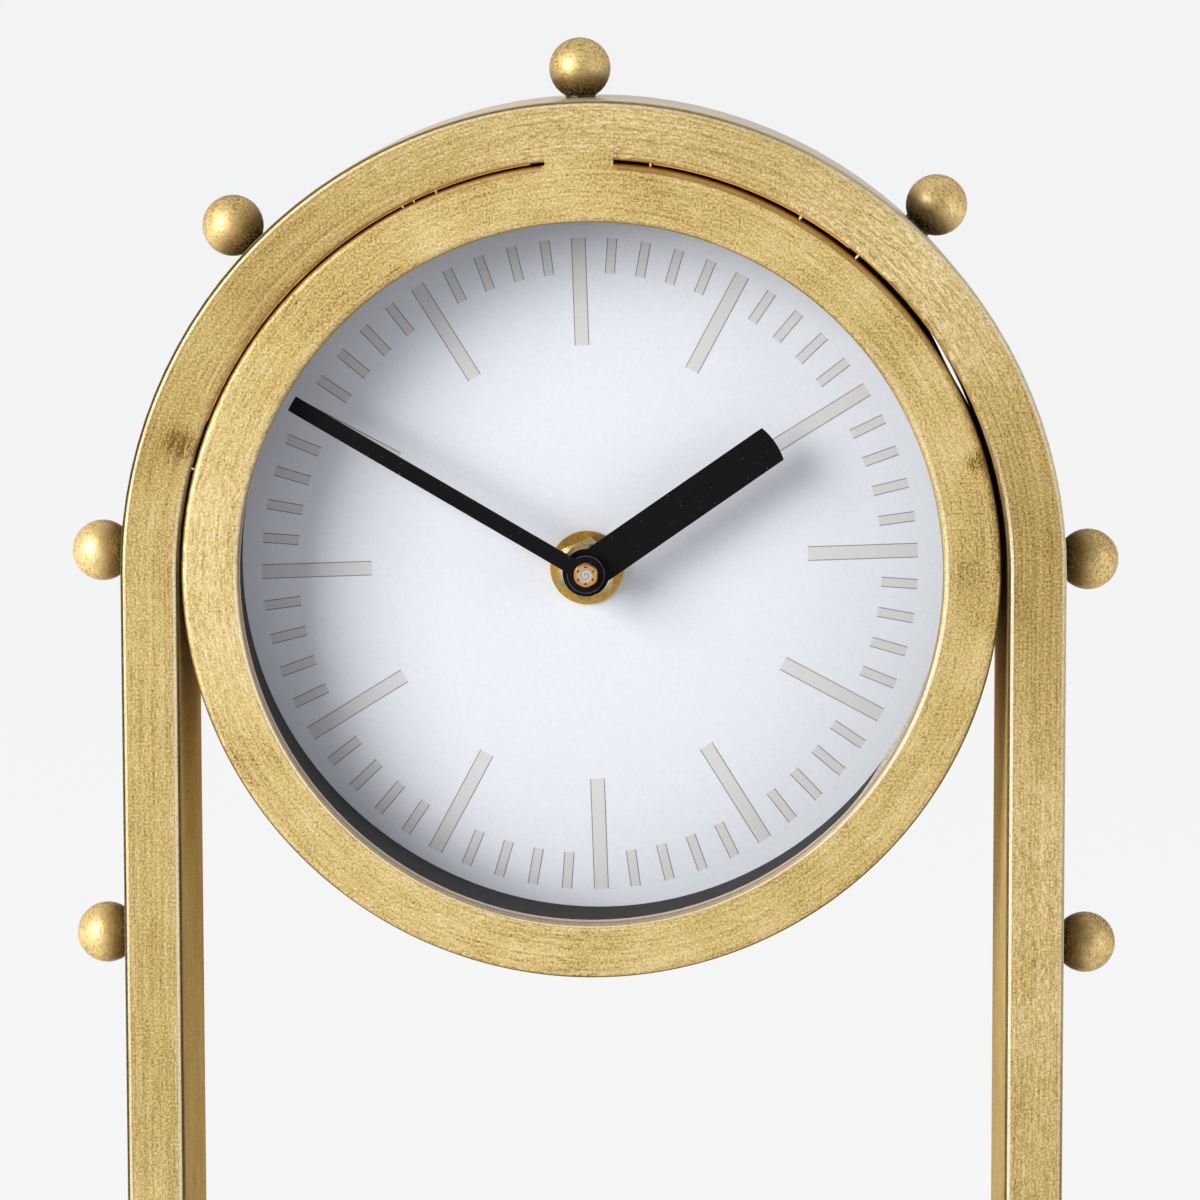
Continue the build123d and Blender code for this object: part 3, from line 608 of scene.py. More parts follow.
@dataclass(frozen=True)
class TurnedEnd(Finish):
    """Bare metal turned on a lathe, seen from its end: rings round its axis, and nicks where it was staked.

    Sizes are in millimetres. The nicks lie between two radii at even angles. The rings are drawn coarser than
    a lathe leaves them, so that they show.
    """

    colour: str
    ring_colour: str
    nick_colour: str
    axis: Pair
    pitch: float
    nicks: Pair
    nick_count: int = 6
    nick_edge: Pair = (-0.5, -0.8)
    ring_tones: Pair = (0.1, 0.9)
    roughness: float = 0.35

    def paint(self, shader: Node) -> None:
        """Lays the rings and the nicks.

        Args:
            shader: The material's surface shader.
        """
        tree = shader.id_data
        shift = (-self.axis[0], 0.0, -self.axis[1])
        place = (Places(tree).point, (1.0, 0.0, 1.0), shift)
        spoke = add_node(tree, "ShaderNodeVectorMath", place, operation="MULTIPLY_ADD")
        radius = add_node(tree, "ShaderNodeVectorMath", (spoke,), operation="LENGTH")
        side, _, up = add_node(tree, "ShaderNodeSeparateXYZ", (spoke,)).outputs
        angle = add_node(tree, "ShaderNodeMath", (up, side), operation="ARCTAN2")
        # the tool's feed turns the rings into a fine spiral
        turns = (radius, math.tau / self.pitch, angle)
        spiral = add_node(tree, "ShaderNodeMath", turns, operation="MULTIPLY_ADD")
        rings = add_node(tree, "ShaderNodeMath", (spiral,), operation="SINE")
        shade = add_node(tree, "ShaderNodeMapRange", (rings, -1.0, 1.0))
        ramp = add_node(tree, "ShaderNodeValToRGB", (shade,))
        set_stops(ramp, list(zip(self.ring_tones, (self.ring_colour, self.colour), strict=True)))
        even = add_node(tree, "ShaderNodeMath", (angle, self.nick_count), operation="MULTIPLY")
        wave = add_node(tree, "ShaderNodeMath", (even,), operation="COSINE")
        low, high = self.nicks
        span = ((low + high) / 2, (high - low) / 2)
        near = add_node(tree, "ShaderNodeMath", (radius, *span), operation="COMPARE")
        nick = add_node(tree, "ShaderNodeMapRange", (wave, *self.nick_edge, 0.0, near))
        colours = {0: nick, 6: ramp, 7: linear(self.nick_colour)}
        colour = add_node(tree, "ShaderNodeMix", colours, data_type="RGBA")
        feed(shader, {"Base Color": colour, "Metallic": 1.0, "Roughness": self.roughness})


@dataclass(frozen=True)
class HexFitting:
    """A bored hexagon whose front corners were turned off on a cone, such as a nut.

    Sizes are in millimetres, the turn in degrees anticlockwise from a flat at three o'clock. The cone starts
    at the turned radius. A shank is a radius and the depth behind the front at which it starts. A corner is
    the radius at which the bar itself was rounded.
    """

    across_flats: float
    turned: float
    bore: float
    slope: float
    turn: float
    shank: Pair | None = None
    corner: float = math.inf
    segments: int = 96

    def mesh(self, node: str) -> BMesh:
        """Builds the fitting in the place of a node.

        Args:
            node: The node that it stands for.

        Returns:
            The mesh, in metres.
        """
        low, high = (Vector(corner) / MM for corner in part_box(node))
        middle = (low + high) / 2
        bearings = [math.tau * step / self.segments for step in range(self.segments)]
        sixth = math.tau / 6
        folds = [(b - math.radians(self.turn) + sixth / 2) % sixth - sixth / 2 for b in bearings]
        hexagon = [min(self.across_flats / 2 / math.cos(fold), self.corner) for fold in folds]
        cone = [low.y + max(0.0, reach - self.turned) * self.slope for reach in hexagon]
        face = [min(reach, self.turned) for reach in hexagon]
        bore, front, back = ([size] * self.segments for size in (self.bore, low.y, high.y))
        loops = [(bore, front), (face, front), (hexagon, cone)]
        if self.shank:
            shank, behind = ([size] * self.segments for size in (self.shank[0], low.y + self.shank[1]))
            loops += [(hexagon, behind), (shank, behind), (shank, back)]
        else:
            loops.append((hexagon, back))
        loops.append((bore, back))
        mesh = bmesh.new()
        rims = []
        for reaches, depths in loops:
            rim = bmesh.ops.create_circle(mesh, segments=self.segments, radius=1.0)["verts"]
            for vertex, bearing, reach, depth in zip(rim, bearings, reaches, depths, strict=True):
                side, up = reach * math.cos(bearing), reach * math.sin(bearing)
                vertex.co = Vector((middle.x + side, depth, middle.z + up)) * MM
            rims.append(list({edge for vertex in rim for edge in vertex.link_edges}))
        for first, second in zip(rims, rims[1:] + rims[:1], strict=True):
            bmesh.ops.bridge_loops(mesh, edges=first + second)
        return mesh


# Enamelled strip: matt black with dust lying on it
DUSTY_ENAMEL = Surface(
    "dusty_black_enamel", "#3A3736", "#262423", roughness=0.75, grain=0.8, specular=0.25, speck="#6E6A66"
)
# A grey line on black paint: a painted highlight where the hub's edge catches the light
HUB_EDGE_HIGHLIGHT = Surface("painted_hub_edge_highlight", "#6E6A67", "#3A3735", grain=0.6, specular=0.2)
# Bare primer on a rough steel edge: dull and a little pink, made paler as a painted highlight along the edge
PRIMER_AND_HIGHLIGHT = Surface("bare_primer_and_highlight", "#D8CDC0", "#A2937F", roughness=0.7, grain=0.8, specular=0.2)
# Offset paper: a cool, slightly mottled white
DIAL_PAPER = Surface("printed_paper", "#EBEDF0", "#E6E8EC", roughness=0.85, grain=0.7, specular=0.2)
# Hardboard: pressed brown fibres
FIBREBOARD = Surface(
    "pressed_fibreboard", "#8A6A48", "#5E4229", roughness=0.8, grain=1.2, bump=0.05, specular=0.2
)
# Zinc-plated steel: bluish grey with a soft spangle
ZINC_STEEL = Surface("zinc_plated_steel", "#C9CDD2", "#A9ADB4", metallic=1.0, roughness=0.35, grain=1.6)
# Drawn steel: clean and bright
BRIGHT_STEEL = Surface("drawn_steel", "#D8D4CC", "#B5AFA6", metallic=1.0, roughness=0.25, grain=0.5)
# Stamped motor iron: dull grey
MOTOR_IRON = Surface("stamped_iron", "#8F8F92", "#6E6E72", metallic=1.0, roughness=0.45, grain=0.7)
# Polished brass: yellow and mirror-like, so its bevels flash
POLISHED_BRASS = Surface("polished_brass", "#FBEDBE", "#EAD494", metallic=1.0, roughness=0.25, grain=0.9)
# Stamped brass sheet: the same yellow, dulled by tumbling
TUMBLED_BRASS = Surface("tumbled_brass", "#CDA454", "#AA8038", metallic=1.0, roughness=0.42, grain=0.5)
# Moulded rubber: dull black
BLACK_RUBBER = Surface("moulded_rubber", "#1B1B1C", "#141415", roughness=0.85, grain=0.8)
# Painted steel hands: satin black with a few pale specks
HAND_BLACK = Surface("satin_black_paint", "#0D0B0C", "#090808", grain=0.6, specular=0.1, speck="#7A7674")
# Moulded acetal: milky white with a soft shine
WHITE_ACETAL = Surface("moulded_acetal", "#E9E7DF", "#DEDBD2", roughness=0.4, grain=2.0)
# Enamelled copper wire: red-brown turns side by side
COIL_COPPER = Surface(
    "enamelled_copper_wire",
    "#B5672F",
    "#7E3F18",
    metallic=1.0,
    roughness=0.35,
    grain=0.25,
    grain_stretch=(1, 0.05, 0.05),
)
# Glass laminate under a green mask: smooth and even
CIRCUIT_GREEN = Surface("glass_laminate", "#2F6B41", "#24553A", roughness=0.35, grain=0.8)
# Moulded black plastic: satin, with the mould's fine texture
MOVEMENT_BLACK = Surface("moulded_black_plastic", "#1D1D1F", "#151517", grain=0.4, bump=0.01)
# Painted shade in the gap round the ring: a black strip as dark and satin as the plastic
GAP_SHADE_BLACK = replace(MOVEMENT_BLACK, name="painted_gap_shade")
# Shrink sleeve of a cell: smooth dark grey under a clear gloss
CELL_JACKET = Surface("shrink_sleeve", "#3A3D42", "#33363B", roughness=0.3, grain=3.0, coat=0.4)
# Pressed felt: dark brown fibres with a soft bloom
FELT = Surface(
    "pressed_felt", "#3B2F27", "#241C17", roughness=0.95, grain=0.35, bump=0.1, specular=0.1, sheen=0.4
)
# A painted highlight along the arch's inner edge by the gap: a glossy amber line
AMBER_EDGE_HIGHLIGHT = Surface("painted_amber_highlight", "#F5B64E", "#D6922E", roughness=0.3, grain=0.6, coat=0.5)
# Printing ink on the dial: a thin taupe screen, darker along the two long sides
INK = Surface("taupe_ink", "#DFDCD9", "#D7D4D1", roughness=0.85, grain=0.5, specular=0.2)
INK_LINE = Surface("taupe_ink_line", "#958D88", "#8A827D", roughness=0.85, grain=0.5, specular=0.2)

# Across an outer corner of the tube, from face to side: small nicks, then a pale painted highlight where the
# rounding faces the lamps, then a dark painted reflection where it turns away
CORNER_NICK_AND_LIGHT_STOPS = (
    (0.02, "#8A6A36", 0.0),
    (0.12, "#8A6A36", 0.4),
    (0.24, "#F6E6B8", 0.45),
    (0.5, "#F6E6B8", 0.55),
    (0.62, "#2A1B0C", 0.9),
    (1.0, "#140C06", 1.0),
)
# Across a leg's corner inside the frame: a fine dark line, a pale painted highlight, then a dark line of
# painted shade where the rounding turns to the side
LEG_CORNER_LIGHT_STOPS = (
    (0.04, "#5A4020", 0.0),
    (0.12, "#4A3418", 0.3),
    (0.2, "#FAEED0", 0.65),
    (0.56, "#FAEED0", 0.75),
    (0.66, "#20150A", 0.85),
    (0.9, "#20150A", 0.85),
    (1.0, "#6A4C22", 0.3),
)
# Across the bend's outer corner at the right: a pale painted highlight along the edge
RIGHT_EDGE_HIGHLIGHT_STOPS = ((0.3, "#F6E6B8", 0.0), (0.55, "#FFF2CC", 0.75), (1.0, "#FFF2CC", 0.85))
# Across the bend's corner inside the frame: a thin orange painted highlight at the very edge, by the gap
BEND_EDGE_HIGHLIGHT_STOPS = ((0.6, "#D9A548", 0.0), (0.82, "#E8A83C", 0.75), (1.0, "#D08E2A", 0.95))
# On the top of the bend: a pale painted reflection of the white backdrop
TOP_REFLECTION_STOPS = ((0.0, "#EEDBB0", 0.0), (1.0, "#EEDBB0", 0.7))
# Across the ring's outer corner: a dark line of painted shade at the very edge, by the gap
RING_EDGE_SHADE_STOPS = ((0.66, "#7A5426", 0.0), (0.84, "#3A2610", 0.8), (1.0, "#1E140A", 0.95))
# The same corner at the upper right: a dark line of painted shade, then orange-brown painted light bounced
# about in the gap
GAP_BOUNCE_AND_SHADE_STOPS = (
    (0.08, "#4A3012", 0.0),
    (0.2, "#4A3012", 0.7),
    (0.34, "#A87428", 0.75),
    (0.8, "#B8842E", 0.85),
    (1.0, "#8A5A1C", 0.85),
)
# On the lip's edge at the top, where its rounding faces down: a thin orange-brown line of painted shade
LIP_SHADE_LINE_STOPS = ((0.2, "#B98A44", 0.0), (0.6, "#A8702E", 0.75), (1.0, "#8A5A28", 0.85))
# Across the front of the ring's lip: small nicks, then a bright painted highlight where the rounding catches
# the lamps
RIM_NICK_AND_HIGHLIGHT_STOPS = (
    (0.05, "#8A6A36", 0.0),
    (0.16, "#8A6A36", 0.45),
    (0.28, "#FFF4D6", 0.6),
    (0.74, "#FFF4D6", 0.78),
    (0.95, "#E8CE92", 0.5),
)
# On the lip's edge: a brown line, bare grey primer, then a thin painted highlight along the edge
LIP_PRIMER_AND_HIGHLIGHT_STOPS = (
    (0.05, "#7E5E2E", 0.0),
    (0.14, "#7E5E2E", 0.8),
    (0.3, "#A2937F", 1.0),
    (0.78, "#998873", 1.0),
    (0.9, "#D2C9BC", 1.0),
)
# Along a ball stud, from its foot outwards: painted shade, darkest where the ball meets the tube, over black
# lacquer that the gold did not reach, then gold
STUD_FOOT_SHADE_AND_LACQUER_STOPS = (
    (0.0, "#0C0805", 1.0),
    (0.22, "#1A1209", 1.0),
    (0.5, "#4A3618", 0.8),
    (1.0, "#8A6C38", 0.0),
)


class SubAssembly:
    """A group of the clock's pieces."""

    def build(self) -> None:
        """Builds the pieces that the solids leave out, where there are any."""

    def dress(self) -> None:
        """Gives the solids their finishes."""


@dataclass
class ArchFrame(SubAssembly):
    """The bent tube and its ball studs."""

    centre: Pair = BEND_CENTRE
    inner: float = 88.5
    outer: float = 101.0
    corner: float = 1.5
    side_edge: float = 0.3
    stud_fade: float = 8.0
    gloss_from: float = 100.7
    # How the painted light and shade along the tube's corners grow or fade across the frame
    corner_lean: Triple = (0.75, -0.0025, 0.0)
    bright_lean: Triple = (-1.0, 0.018, 0.006)
    bend_lean: Triple = (-0.2, 0.0, 0.02)
    leg_lean: Triple = (1.0, 0.0, -0.03)
    pale_lean: Triple = (-1.714, 0.0, 0.0286)
    tone_spots: tuple[ToneSpot, ...] = (
        ToneSpot(-87.6, 288.0, 5.5, -0.24),
        ToneSpot(-92.0, 290.0, 22.0, -0.08),
        ToneSpot(68.0, 327.0, 45.0, 0.1),
        ToneSpot(94.0, 262.0, 45.0, -0.1),
        ToneSpot(-68.0, 326.0, 40.0, -0.07),
        ToneSpot(0.0, 355.0, 35.0, 0.06),
        ToneSpot(94.0, 180.0, 80.0, 0.05),
        ToneSpot(-94.0, 170.0, 60.0, -0.03),
    )

    def dress(self) -> None:
        """Gilds the tube and the studs along the bend, with painted highlights and shade on its corners and
        studs.
        """
        outside = (self.outer - self.corner, self.outer)
        inside = (self.inner + self.corner, self.inner)
        # along the tube's corners: painted highlights, dark painted reflection and shade, and a pale painted
        # reflection on top
        bands = (
            WearAndLightBand(*outside, CORNER_NICK_AND_LIGHT_STOPS, lean=self.corner_lean),
            WearAndLightBand(*outside, RIGHT_EDGE_HIGHLIGHT_STOPS, Faces.FRONT, self.bright_lean),
            WearAndLightBand(*inside, BEND_EDGE_HIGHLIGHT_STOPS, lean=self.bend_lean, gilded_over=joint_span()),
            WearAndLightBand(*inside, LEG_CORNER_LIGHT_STOPS, lean=self.leg_lean),
            WearAndLightBand(self.outer - self.side_edge, self.outer, TOP_REFLECTION_STOPS, Faces.ALL, self.pale_lean),
        )
        tube_gold = RubbedGold(
            "rubbed_gold_on_arch",
            Grain.ARCH,
            self.centre,
            bands,
            self.tone_spots,
            shares=(0.95, 0.5, 0.5, 0.2),
            gloss_from=self.gloss_from,
            gloss=0.8,
        )
        dress_nodes(tube_gold, "arch_tube")
        # painted shade round each stud's foot, darkest where it meets the tube
        foot = WearAndLightBand(self.outer, self.outer + self.stud_fade, STUD_FOOT_SHADE_AND_LACQUER_STOPS, Faces.ALL)
        stud_gold = RubbedGold(
            "rubbed_gold_on_studs",
            Grain.ARCH,
            self.centre,
            (foot,),
            shares=(0.75, 0.5, 0.25, 0.45),
            dark="#664C24",
            middle="#F6D488",
            light="#FFF4D2",
            metallic=0.7,
            roughness=0.48,
            gloss_from=self.outer,
            gloss=0.5,
            # painted shade round each ball's middle, where it faces sideways
            shaded_waist=(0.0, 5.5, -0.12),
        )
        dress_nodes(stud_gold, "ball_studs")


@dataclass
class ClockHead(SubAssembly):
    """The ring, the tab that hangs it, the black band inside it, and the painted shade, highlight and paint
    in the gap round it.

    A drop of paint has an angle in degrees, anticlockwise from three o'clock, and a radius.
    """

    centre: Pair = HEAD_CENTRE
    bend_centre: Pair = BEND_CENTRE
    middle: str = "#D5B874"
    inner: float = 75.0
    outer: float = 87.5
    corner: float = 1.5
    # How the painted light and shade along the ring's edges grow or fade round it, and how the lip's primer
    # narrows upwards
    gap_bounce_lean: Triple = (-0.9, 0.008, 0.02)
    rim: Pair = (1.65, 0.6)
    rim_lean: Triple = (0.75, 0.0, -0.012)
    lip_line: float = 0.4
    lip_line_lean: Triple = (0.3, 0.0, 0.012)
    lip: float = 1.3
    lip_lean: Triple = (0.363, -0.00139, -0.0085)
    tone_spots: tuple[ToneSpot, ...] = (
        ToneSpot(-82.0, 262.0, 55.0, 0.1),
        ToneSpot(82.0, 268.0, 45.0, -0.02),
        ToneSpot(81.5, 284.5, 3.5, -0.3),
        ToneSpot(-20.0, 180.0, 50.0, 0.04),
    )
    lining_thickness: float = 0.75
    lining_steps: int = 256
    lining_thinning: Bulge = Bulge(340.0, 24.0, -0.5)
    lining_bulge: Bulge = Bulge(236.0, 34.0, 1.0)
    burr: ArcStrip = ArcStrip((75.05, 75.4), (-24.0, -23.55), ((-52.0, -10.0),), 64)
    burr_bulge: Bulge = Bulge(329.0, 8.0, 0.85)
    filler: ArcStrip = ArcStrip((87.0, 88.6), (9.0, 13.0), ((-8.0, 82.0), (98.0, 172.0)), 180)
    open_gap: Bulge = Bulge(27.6, 5.6, 0.95)
    bead: ArcStrip = ArcStrip((88.36, 88.56), (-24.0, -22.5), ((52.0, 81.5), (98.5, 158.0)), 48)
    drops: tuple[Pair, ...] = (
        (50.4, 0.36),
        (59.9, 0.42),
        (81.9, 0.36),
        (112.0, 0.34),
        (115.3, 0.24),
        (117.0, 0.28),
        (165.0, 0.32),
    )
    drop_reach: float = 88.1
    drop_depth: float = -23.9
    drop_shape: Triple = (2.0, 1.0, 0.8)
    drop_gold: str = "#F0D690"

    def build(self) -> None:
        """Builds the ring's springy lining, its lip's rough edge, and the painted shade, highlight and paint
        drops in the gap.
        """
        (_, front, _), (right, back, _) = (Vector(corner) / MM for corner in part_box("dial_band"))
        outer = right - self.centre[0]
        reach = (outer - self.lining_thickness, outer)
        lining = ArcStrip(reach, (front, back), ((0.0, 360.0),), self.lining_steps)
        mesh = lining.mesh(self.centre)
        self._push(mesh, self.lining_thinning, within=lining.middle)
        self._push(mesh, self.lining_bulge)
        band = piece_from(mesh, "lining_strip", "clock_body", DUSTY_ENAMEL)
        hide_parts("dial_band")
        # the lip's rough edge in primer, paler as a painted highlight
        mesh = self.burr.mesh(self.centre)
        self._push(mesh, self.burr_bulge, within=self.burr.middle)
        piece_from(mesh, "lip_burr", "clock_body", PRIMER_AND_HIGHLIGHT)
        # painted shade: a black strip deep in the gap, pushed open at one stretch
        mesh = self.filler.mesh(self.bend_centre)
        self._push(mesh, self.open_gap, beyond=self.filler.middle)
        piece_from(mesh, "gap_filler", "clock_body", GAP_SHADE_BLACK)
        # painted highlight: an amber line along the arch's inner edge by the gap
        mesh = self.bead.mesh(self.bend_centre)
        piece_from(mesh, "highlight_bead", "clock_body", AMBER_EDGE_HIGHLIGHT)
        self._drip_paint()

    def _drip_paint(self) -> None:
        """Hangs the drops of gold paint in the gap."""
        mesh = bmesh.new()
        for angle, radius in self.drops:
            drop = bmesh.ops.create_icosphere(mesh, subdivisions=2, radius=radius * MM)["verts"]
            turn = math.radians(angle)
            bmesh.ops.scale(mesh, verts=drop, vec=self.drop_shape)
            bmesh.ops.rotate(mesh, verts=drop, matrix=Matrix.Rotation(-turn, 3, "Y"))
            spoke = Vector((math.cos(turn), 0.0, math.sin(turn))) * self.drop_reach
            hang = Vector((self.bend_centre[0], self.drop_depth, self.bend_centre[1])) + spoke
            bmesh.ops.translate(mesh, verts=drop, vec=hang * MM)
        gold = RubbedGold("gold_paint_drops", Grain.RING, self.centre, middle=self.drop_gold)
        piece_from(mesh, "paint_drops", "clock_body", gold)

    def _push(self, mesh: BMesh, bulge: Bulge, within: float = math.inf, beyond: float = 0.0) -> None:
        """Moves a stretch of a strip towards the head's axis.

        Args:
            mesh: The strip.
            bulge: Where it moves and how far.
            within: Radius in millimetres inside which the strip moves.
            beyond: Radius in millimetres outside which it moves.
        """
        hub = Vector((self.centre[0], 0.0, self.centre[1])) * MM
        for vertex in mesh.verts:
            spoke = (vertex.co - hub) * Vector((1, 0, 1))
            if not beyond * MM < spoke.length < within * MM:
                continue
            aside = (math.degrees(math.atan2(spoke.z, spoke.x)) - bulge.middle + 180.0) % 360.0 - 180.0
            push = bulge.height * MM * math.exp(-((aside / bulge.spread) ** 2))
            vertex.co -= spoke.normalized() * push

    def dress(self) -> None:
        """Gilds the ring and the tab round the head, with wear and painted light and shade on the ring's
        edges.
        """
        joint = joint_span()
        outside = (self.outer - self.corner, self.outer)
        rim = [self.inner + reach for reach in self.rim]
        line = (self.inner + self.lip_line, self.inner)
        # along the ring's edges: painted shade and bounced light by the gap, nicks and painted highlights on
        # the lip, and its primer
        bands = (
            WearAndLightBand(*outside, RING_EDGE_SHADE_STOPS, gilded_over=joint),
            WearAndLightBand(*outside, GAP_BOUNCE_AND_SHADE_STOPS, Faces.FRONT, self.gap_bounce_lean, gilded_over=joint),
            WearAndLightBand(*rim, RIM_NICK_AND_HIGHLIGHT_STOPS, Faces.FRONT, self.rim_lean),
            WearAndLightBand(*line, LIP_SHADE_LINE_STOPS, Faces.FRONT, self.lip_line_lean),
            WearAndLightBand(self.inner + self.lip, self.inner, LIP_PRIMER_AND_HIGHLIGHT_STOPS, Faces.FRONT, self.lip_lean, fades=False),
        )
        tab_gold = RubbedGold("rubbed_gold_on_tab", Grain.RING, self.centre, middle=self.middle)
        ring_gold = replace(tab_gold, name="rubbed_gold_on_ring", bands=bands, tone_spots=self.tone_spots)
        dress_nodes(ring_gold, "head_ring")
        dress_nodes(tab_gold, "head_tab")


@dataclass
class Dial(SubAssembly):
    """The paper dial with its printed bars, and the board and clips behind it.

    A bar has a width and a length. The print sits a little askew on the paper, turned by a few degrees, and
    narrows towards the top by a small share per millimetre.
    """

    centre: Pair = (-1.06, 260.56)
    face: float = -2.5
    turn: float = 1.9
    taper: float = 0.0002
    bar_reach: float = 71.3
    hour_bar: Pair = (3.18, 23.85)
    minute_bar: Pair = (2.2, 7.82)
    edge_line: float = 0.2
    ink: float = 0.02

    def build(self) -> None:
        """Prints the sixty bars as thin films of ink on the paper."""
        fills, lines = bmesh.new(), bmesh.new()
        for minute in range(60):
            width, length = self.minute_bar if minute % 5 else self.hour_bar
            angle = math.radians(6 * minute - self.turn)
            self._film(fills, width - 2 * self.edge_line, length, 0.0, angle)
            for side in (-1, 1):
                self._film(lines, self.edge_line, length, side * (width - self.edge_line) / 2, angle)
        piece_from(fills, "dial_bars", "clock_body", INK)
        piece_from(lines, "dial_bar_edges", "clock_body", INK_LINE)

    def _film(self, mesh: BMesh, width: float, length: float, offset: float, angle: float) -> None:
        """Adds one strip of ink.

        Args:
            mesh: The mesh that gets the strip.
            width: Width of the strip in millimetres.
            length: Length of the strip in millimetres, inwards from the bars' reach.
            offset: Sideways place of the strip in its bar, in millimetres.
            angle: Clockwise turn of the bar from twelve, in radians.
        """
        flat = bmesh.ops.create_grid(mesh, x_segments=1, y_segments=1, size=0.5)
        faces = list({face for vertex in flat["verts"] for face in vertex.link_faces})
        raised = bmesh.ops.extrude_face_region(mesh, geom=faces)
        upper = [item for item in raised["geom"] if isinstance(item, BMVert)]
        bmesh.ops.translate(mesh, verts=upper, vec=(0, 0, 1))
        verts = flat["verts"] + upper
        bmesh.ops.scale(mesh, verts=verts, vec=Vector((width, length, self.ink)) * MM)
        bmesh.ops.translate(mesh, verts=verts, vec=Vector((offset, self.bar_reach - length / 2, 0)) * MM)
        turn = Matrix.Rotation(angle, 4, "Y") @ Matrix.Rotation(math.radians(90), 4, "X")
        bmesh.ops.transform(mesh, matrix=turn, verts=verts)
        for vertex in verts:
            share = 1 - self.taper * vertex.co.z / MM
            vertex.co.x, vertex.co.z = vertex.co.x * share, vertex.co.z * share
        place = Vector((self.centre[0], self.face, self.centre[1]))
        bmesh.ops.translate(mesh, verts=verts, vec=place * MM)

    def dress(self) -> None:
        """Gives the paper, the board and its fittings their materials."""
        dress_nodes(DIAL_PAPER, "dial_face")
        dress_nodes(FIBREBOARD, "dial_board")
        dress_nodes(ZINC_STEEL, "dial_clips", "clip_screws")


@dataclass
class Hands(SubAssembly):
    """The two hands, the bush that is staked in the minute hand, and the arbor in it."""

    axis: Pair = (-1.65, 259.15)
    bush: HexFitting = HexFitting(
        across_flats=5.0, turned=2.25, bore=1.62, slope=0.9, turn=0.0, shank=(3.2, 2.3), corner=2.62
    )
    bush_pitch: float = 0.5
    bush_nicks: Pair = (1.62, 2.0)
    arbor_pitch: float = 0.85
    no_nicks: Pair = (0.0, 0.0)
    edge_reach: Pair = (3.96, 4.05)
    edge_height: float = 0.03
    edge_arc: Pair = (178.0, 482.0)
    edge_steps: int = 96

    def build(self) -> None:
        """Builds the bush with its corners turned off, and a grey painted highlight on the minute hand's hub
        edge.
        """
        # Turned brass: a reddish alloy with lathe rings and dark nicks from staking
        rings = (self.axis, self.bush_pitch, self.bush_nicks)
        brass = TurnedEnd("turned_brass", "#F2BC78", "#C98B42", "#5A3310", *rings)
        mesh = self.bush.mesh("minute_bush")
        bush = piece_from(mesh, "staked_bush", "minute_work", brass)
        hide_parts("minute_bush")
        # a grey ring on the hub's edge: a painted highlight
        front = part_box("minute_hand")[0][1] / MM
        depth = (front - self.edge_height, front + self.edge_height)
        edge = ArcStrip(self.edge_reach, depth, (self.edge_arc,), self.edge_steps)
        piece_from(edge.mesh(self.axis), "hub_edge", "minute_work", HUB_EDGE_HIGHLIGHT)

    def dress(self) -> None:
        """Paints the hands and leaves the arbor in bare metal."""
        dress_nodes(HAND_BLACK, "hour_hand", "minute_hand")
        # Turned steel: bright, with the spiral that the tool left on its end
        rings = (self.axis, self.arbor_pitch, self.no_nicks)
        steel = TurnedEnd("turned_steel", "#E3DAD3", "#B4A9A1", "#B4A9A1", *rings)
        dress_nodes(steel, "minute_arbor")


@dataclass
class Movement(SubAssembly):
    """The quartz movement behind the dial and the brass fittings that clamp it."""

    nut: HexFitting = HexFitting(across_flats=12.0, turned=5.6, bore=4.92, slope=0.75, turn=-8.3)
    wheels: tuple[str, ...] = (
        "hour_wheel",
        "motion_wheel",
        "centre_wheel",
        "third_wheel",
        "seconds_wheel",
        "intermediate_wheel",
    )

    def build(self) -> None:
        """Builds the nut with its corners turned off."""
        mesh = self.nut.mesh("mount_nut")
        nut = piece_from(mesh, "turned_nut", "clock_body", POLISHED_BRASS)
        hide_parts("mount_nut")

    def dress(self) -> None:
        """Gives each piece of the movement its material."""
        dress_nodes(POLISHED_BRASS, "mounting_bush")
        dress_nodes(TUMBLED_BRASS, "mount_washer")
        dress_nodes(BLACK_RUBBER, "rubber_washer")
        dress_nodes(WHITE_ACETAL, *self.wheels, "setting_knob", "coil_bobbin")
        dress_nodes(MOTOR_IRON, "stator", "rotor")
        dress_nodes(COIL_COPPER, "coil_winding")
        dress_nodes(CIRCUIT_GREEN, "circuit_board")
        dress_nodes(BRIGHT_STEEL, "quartz_can", "contact_positive", "contact_negative")
        dress_nodes(MOVEMENT_BLACK, "movement_case", "movement_cover")
        dress_nodes(CELL_JACKET, "battery")


@dataclass
class Base(SubAssembly):
    """The tray that the legs stand on, with its board, felt and screws."""

    def dress(self) -> None:
        """Gilds the tray along its length and finishes what is under it."""
        dress_nodes(RubbedGold("rubbed_gold_on_base", Grain.BASE), "base_tray")
        dress_nodes(FIBREBOARD, "base_board")
        dress_nodes(FELT, "base_felt")
        dress_nodes(ZINC_STEEL, "leg_plugs", "base_screws")


@dataclass(frozen=True)
class Softbox:
    """A flat studio lamp, in metres and watts."""

    name: str
    place: Triple
    aim: Triple
    size: Pair
    power: float
    colour: str = WHITE

    def build(self) -> None:
        """Sets the lamp up and turns it to what it lights."""
        data = bpy.data.lights.new(self.name, "AREA")
        data.shape = "RECTANGLE"
        data.size, data.size_y = self.size
        data.energy = self.power
        data.color = linear(self.colour)[:3]
        lamp = bpy.data.objects.new(self.name, data)
        lamp.location = self.place
        lamp.rotation_euler = (Vector(self.aim) - Vector(self.place)).to_track_quat("-Z", "Y").to_euler()
        lamp.visible_camera = False
        bpy.context.scene.collection.objects.link(lamp)


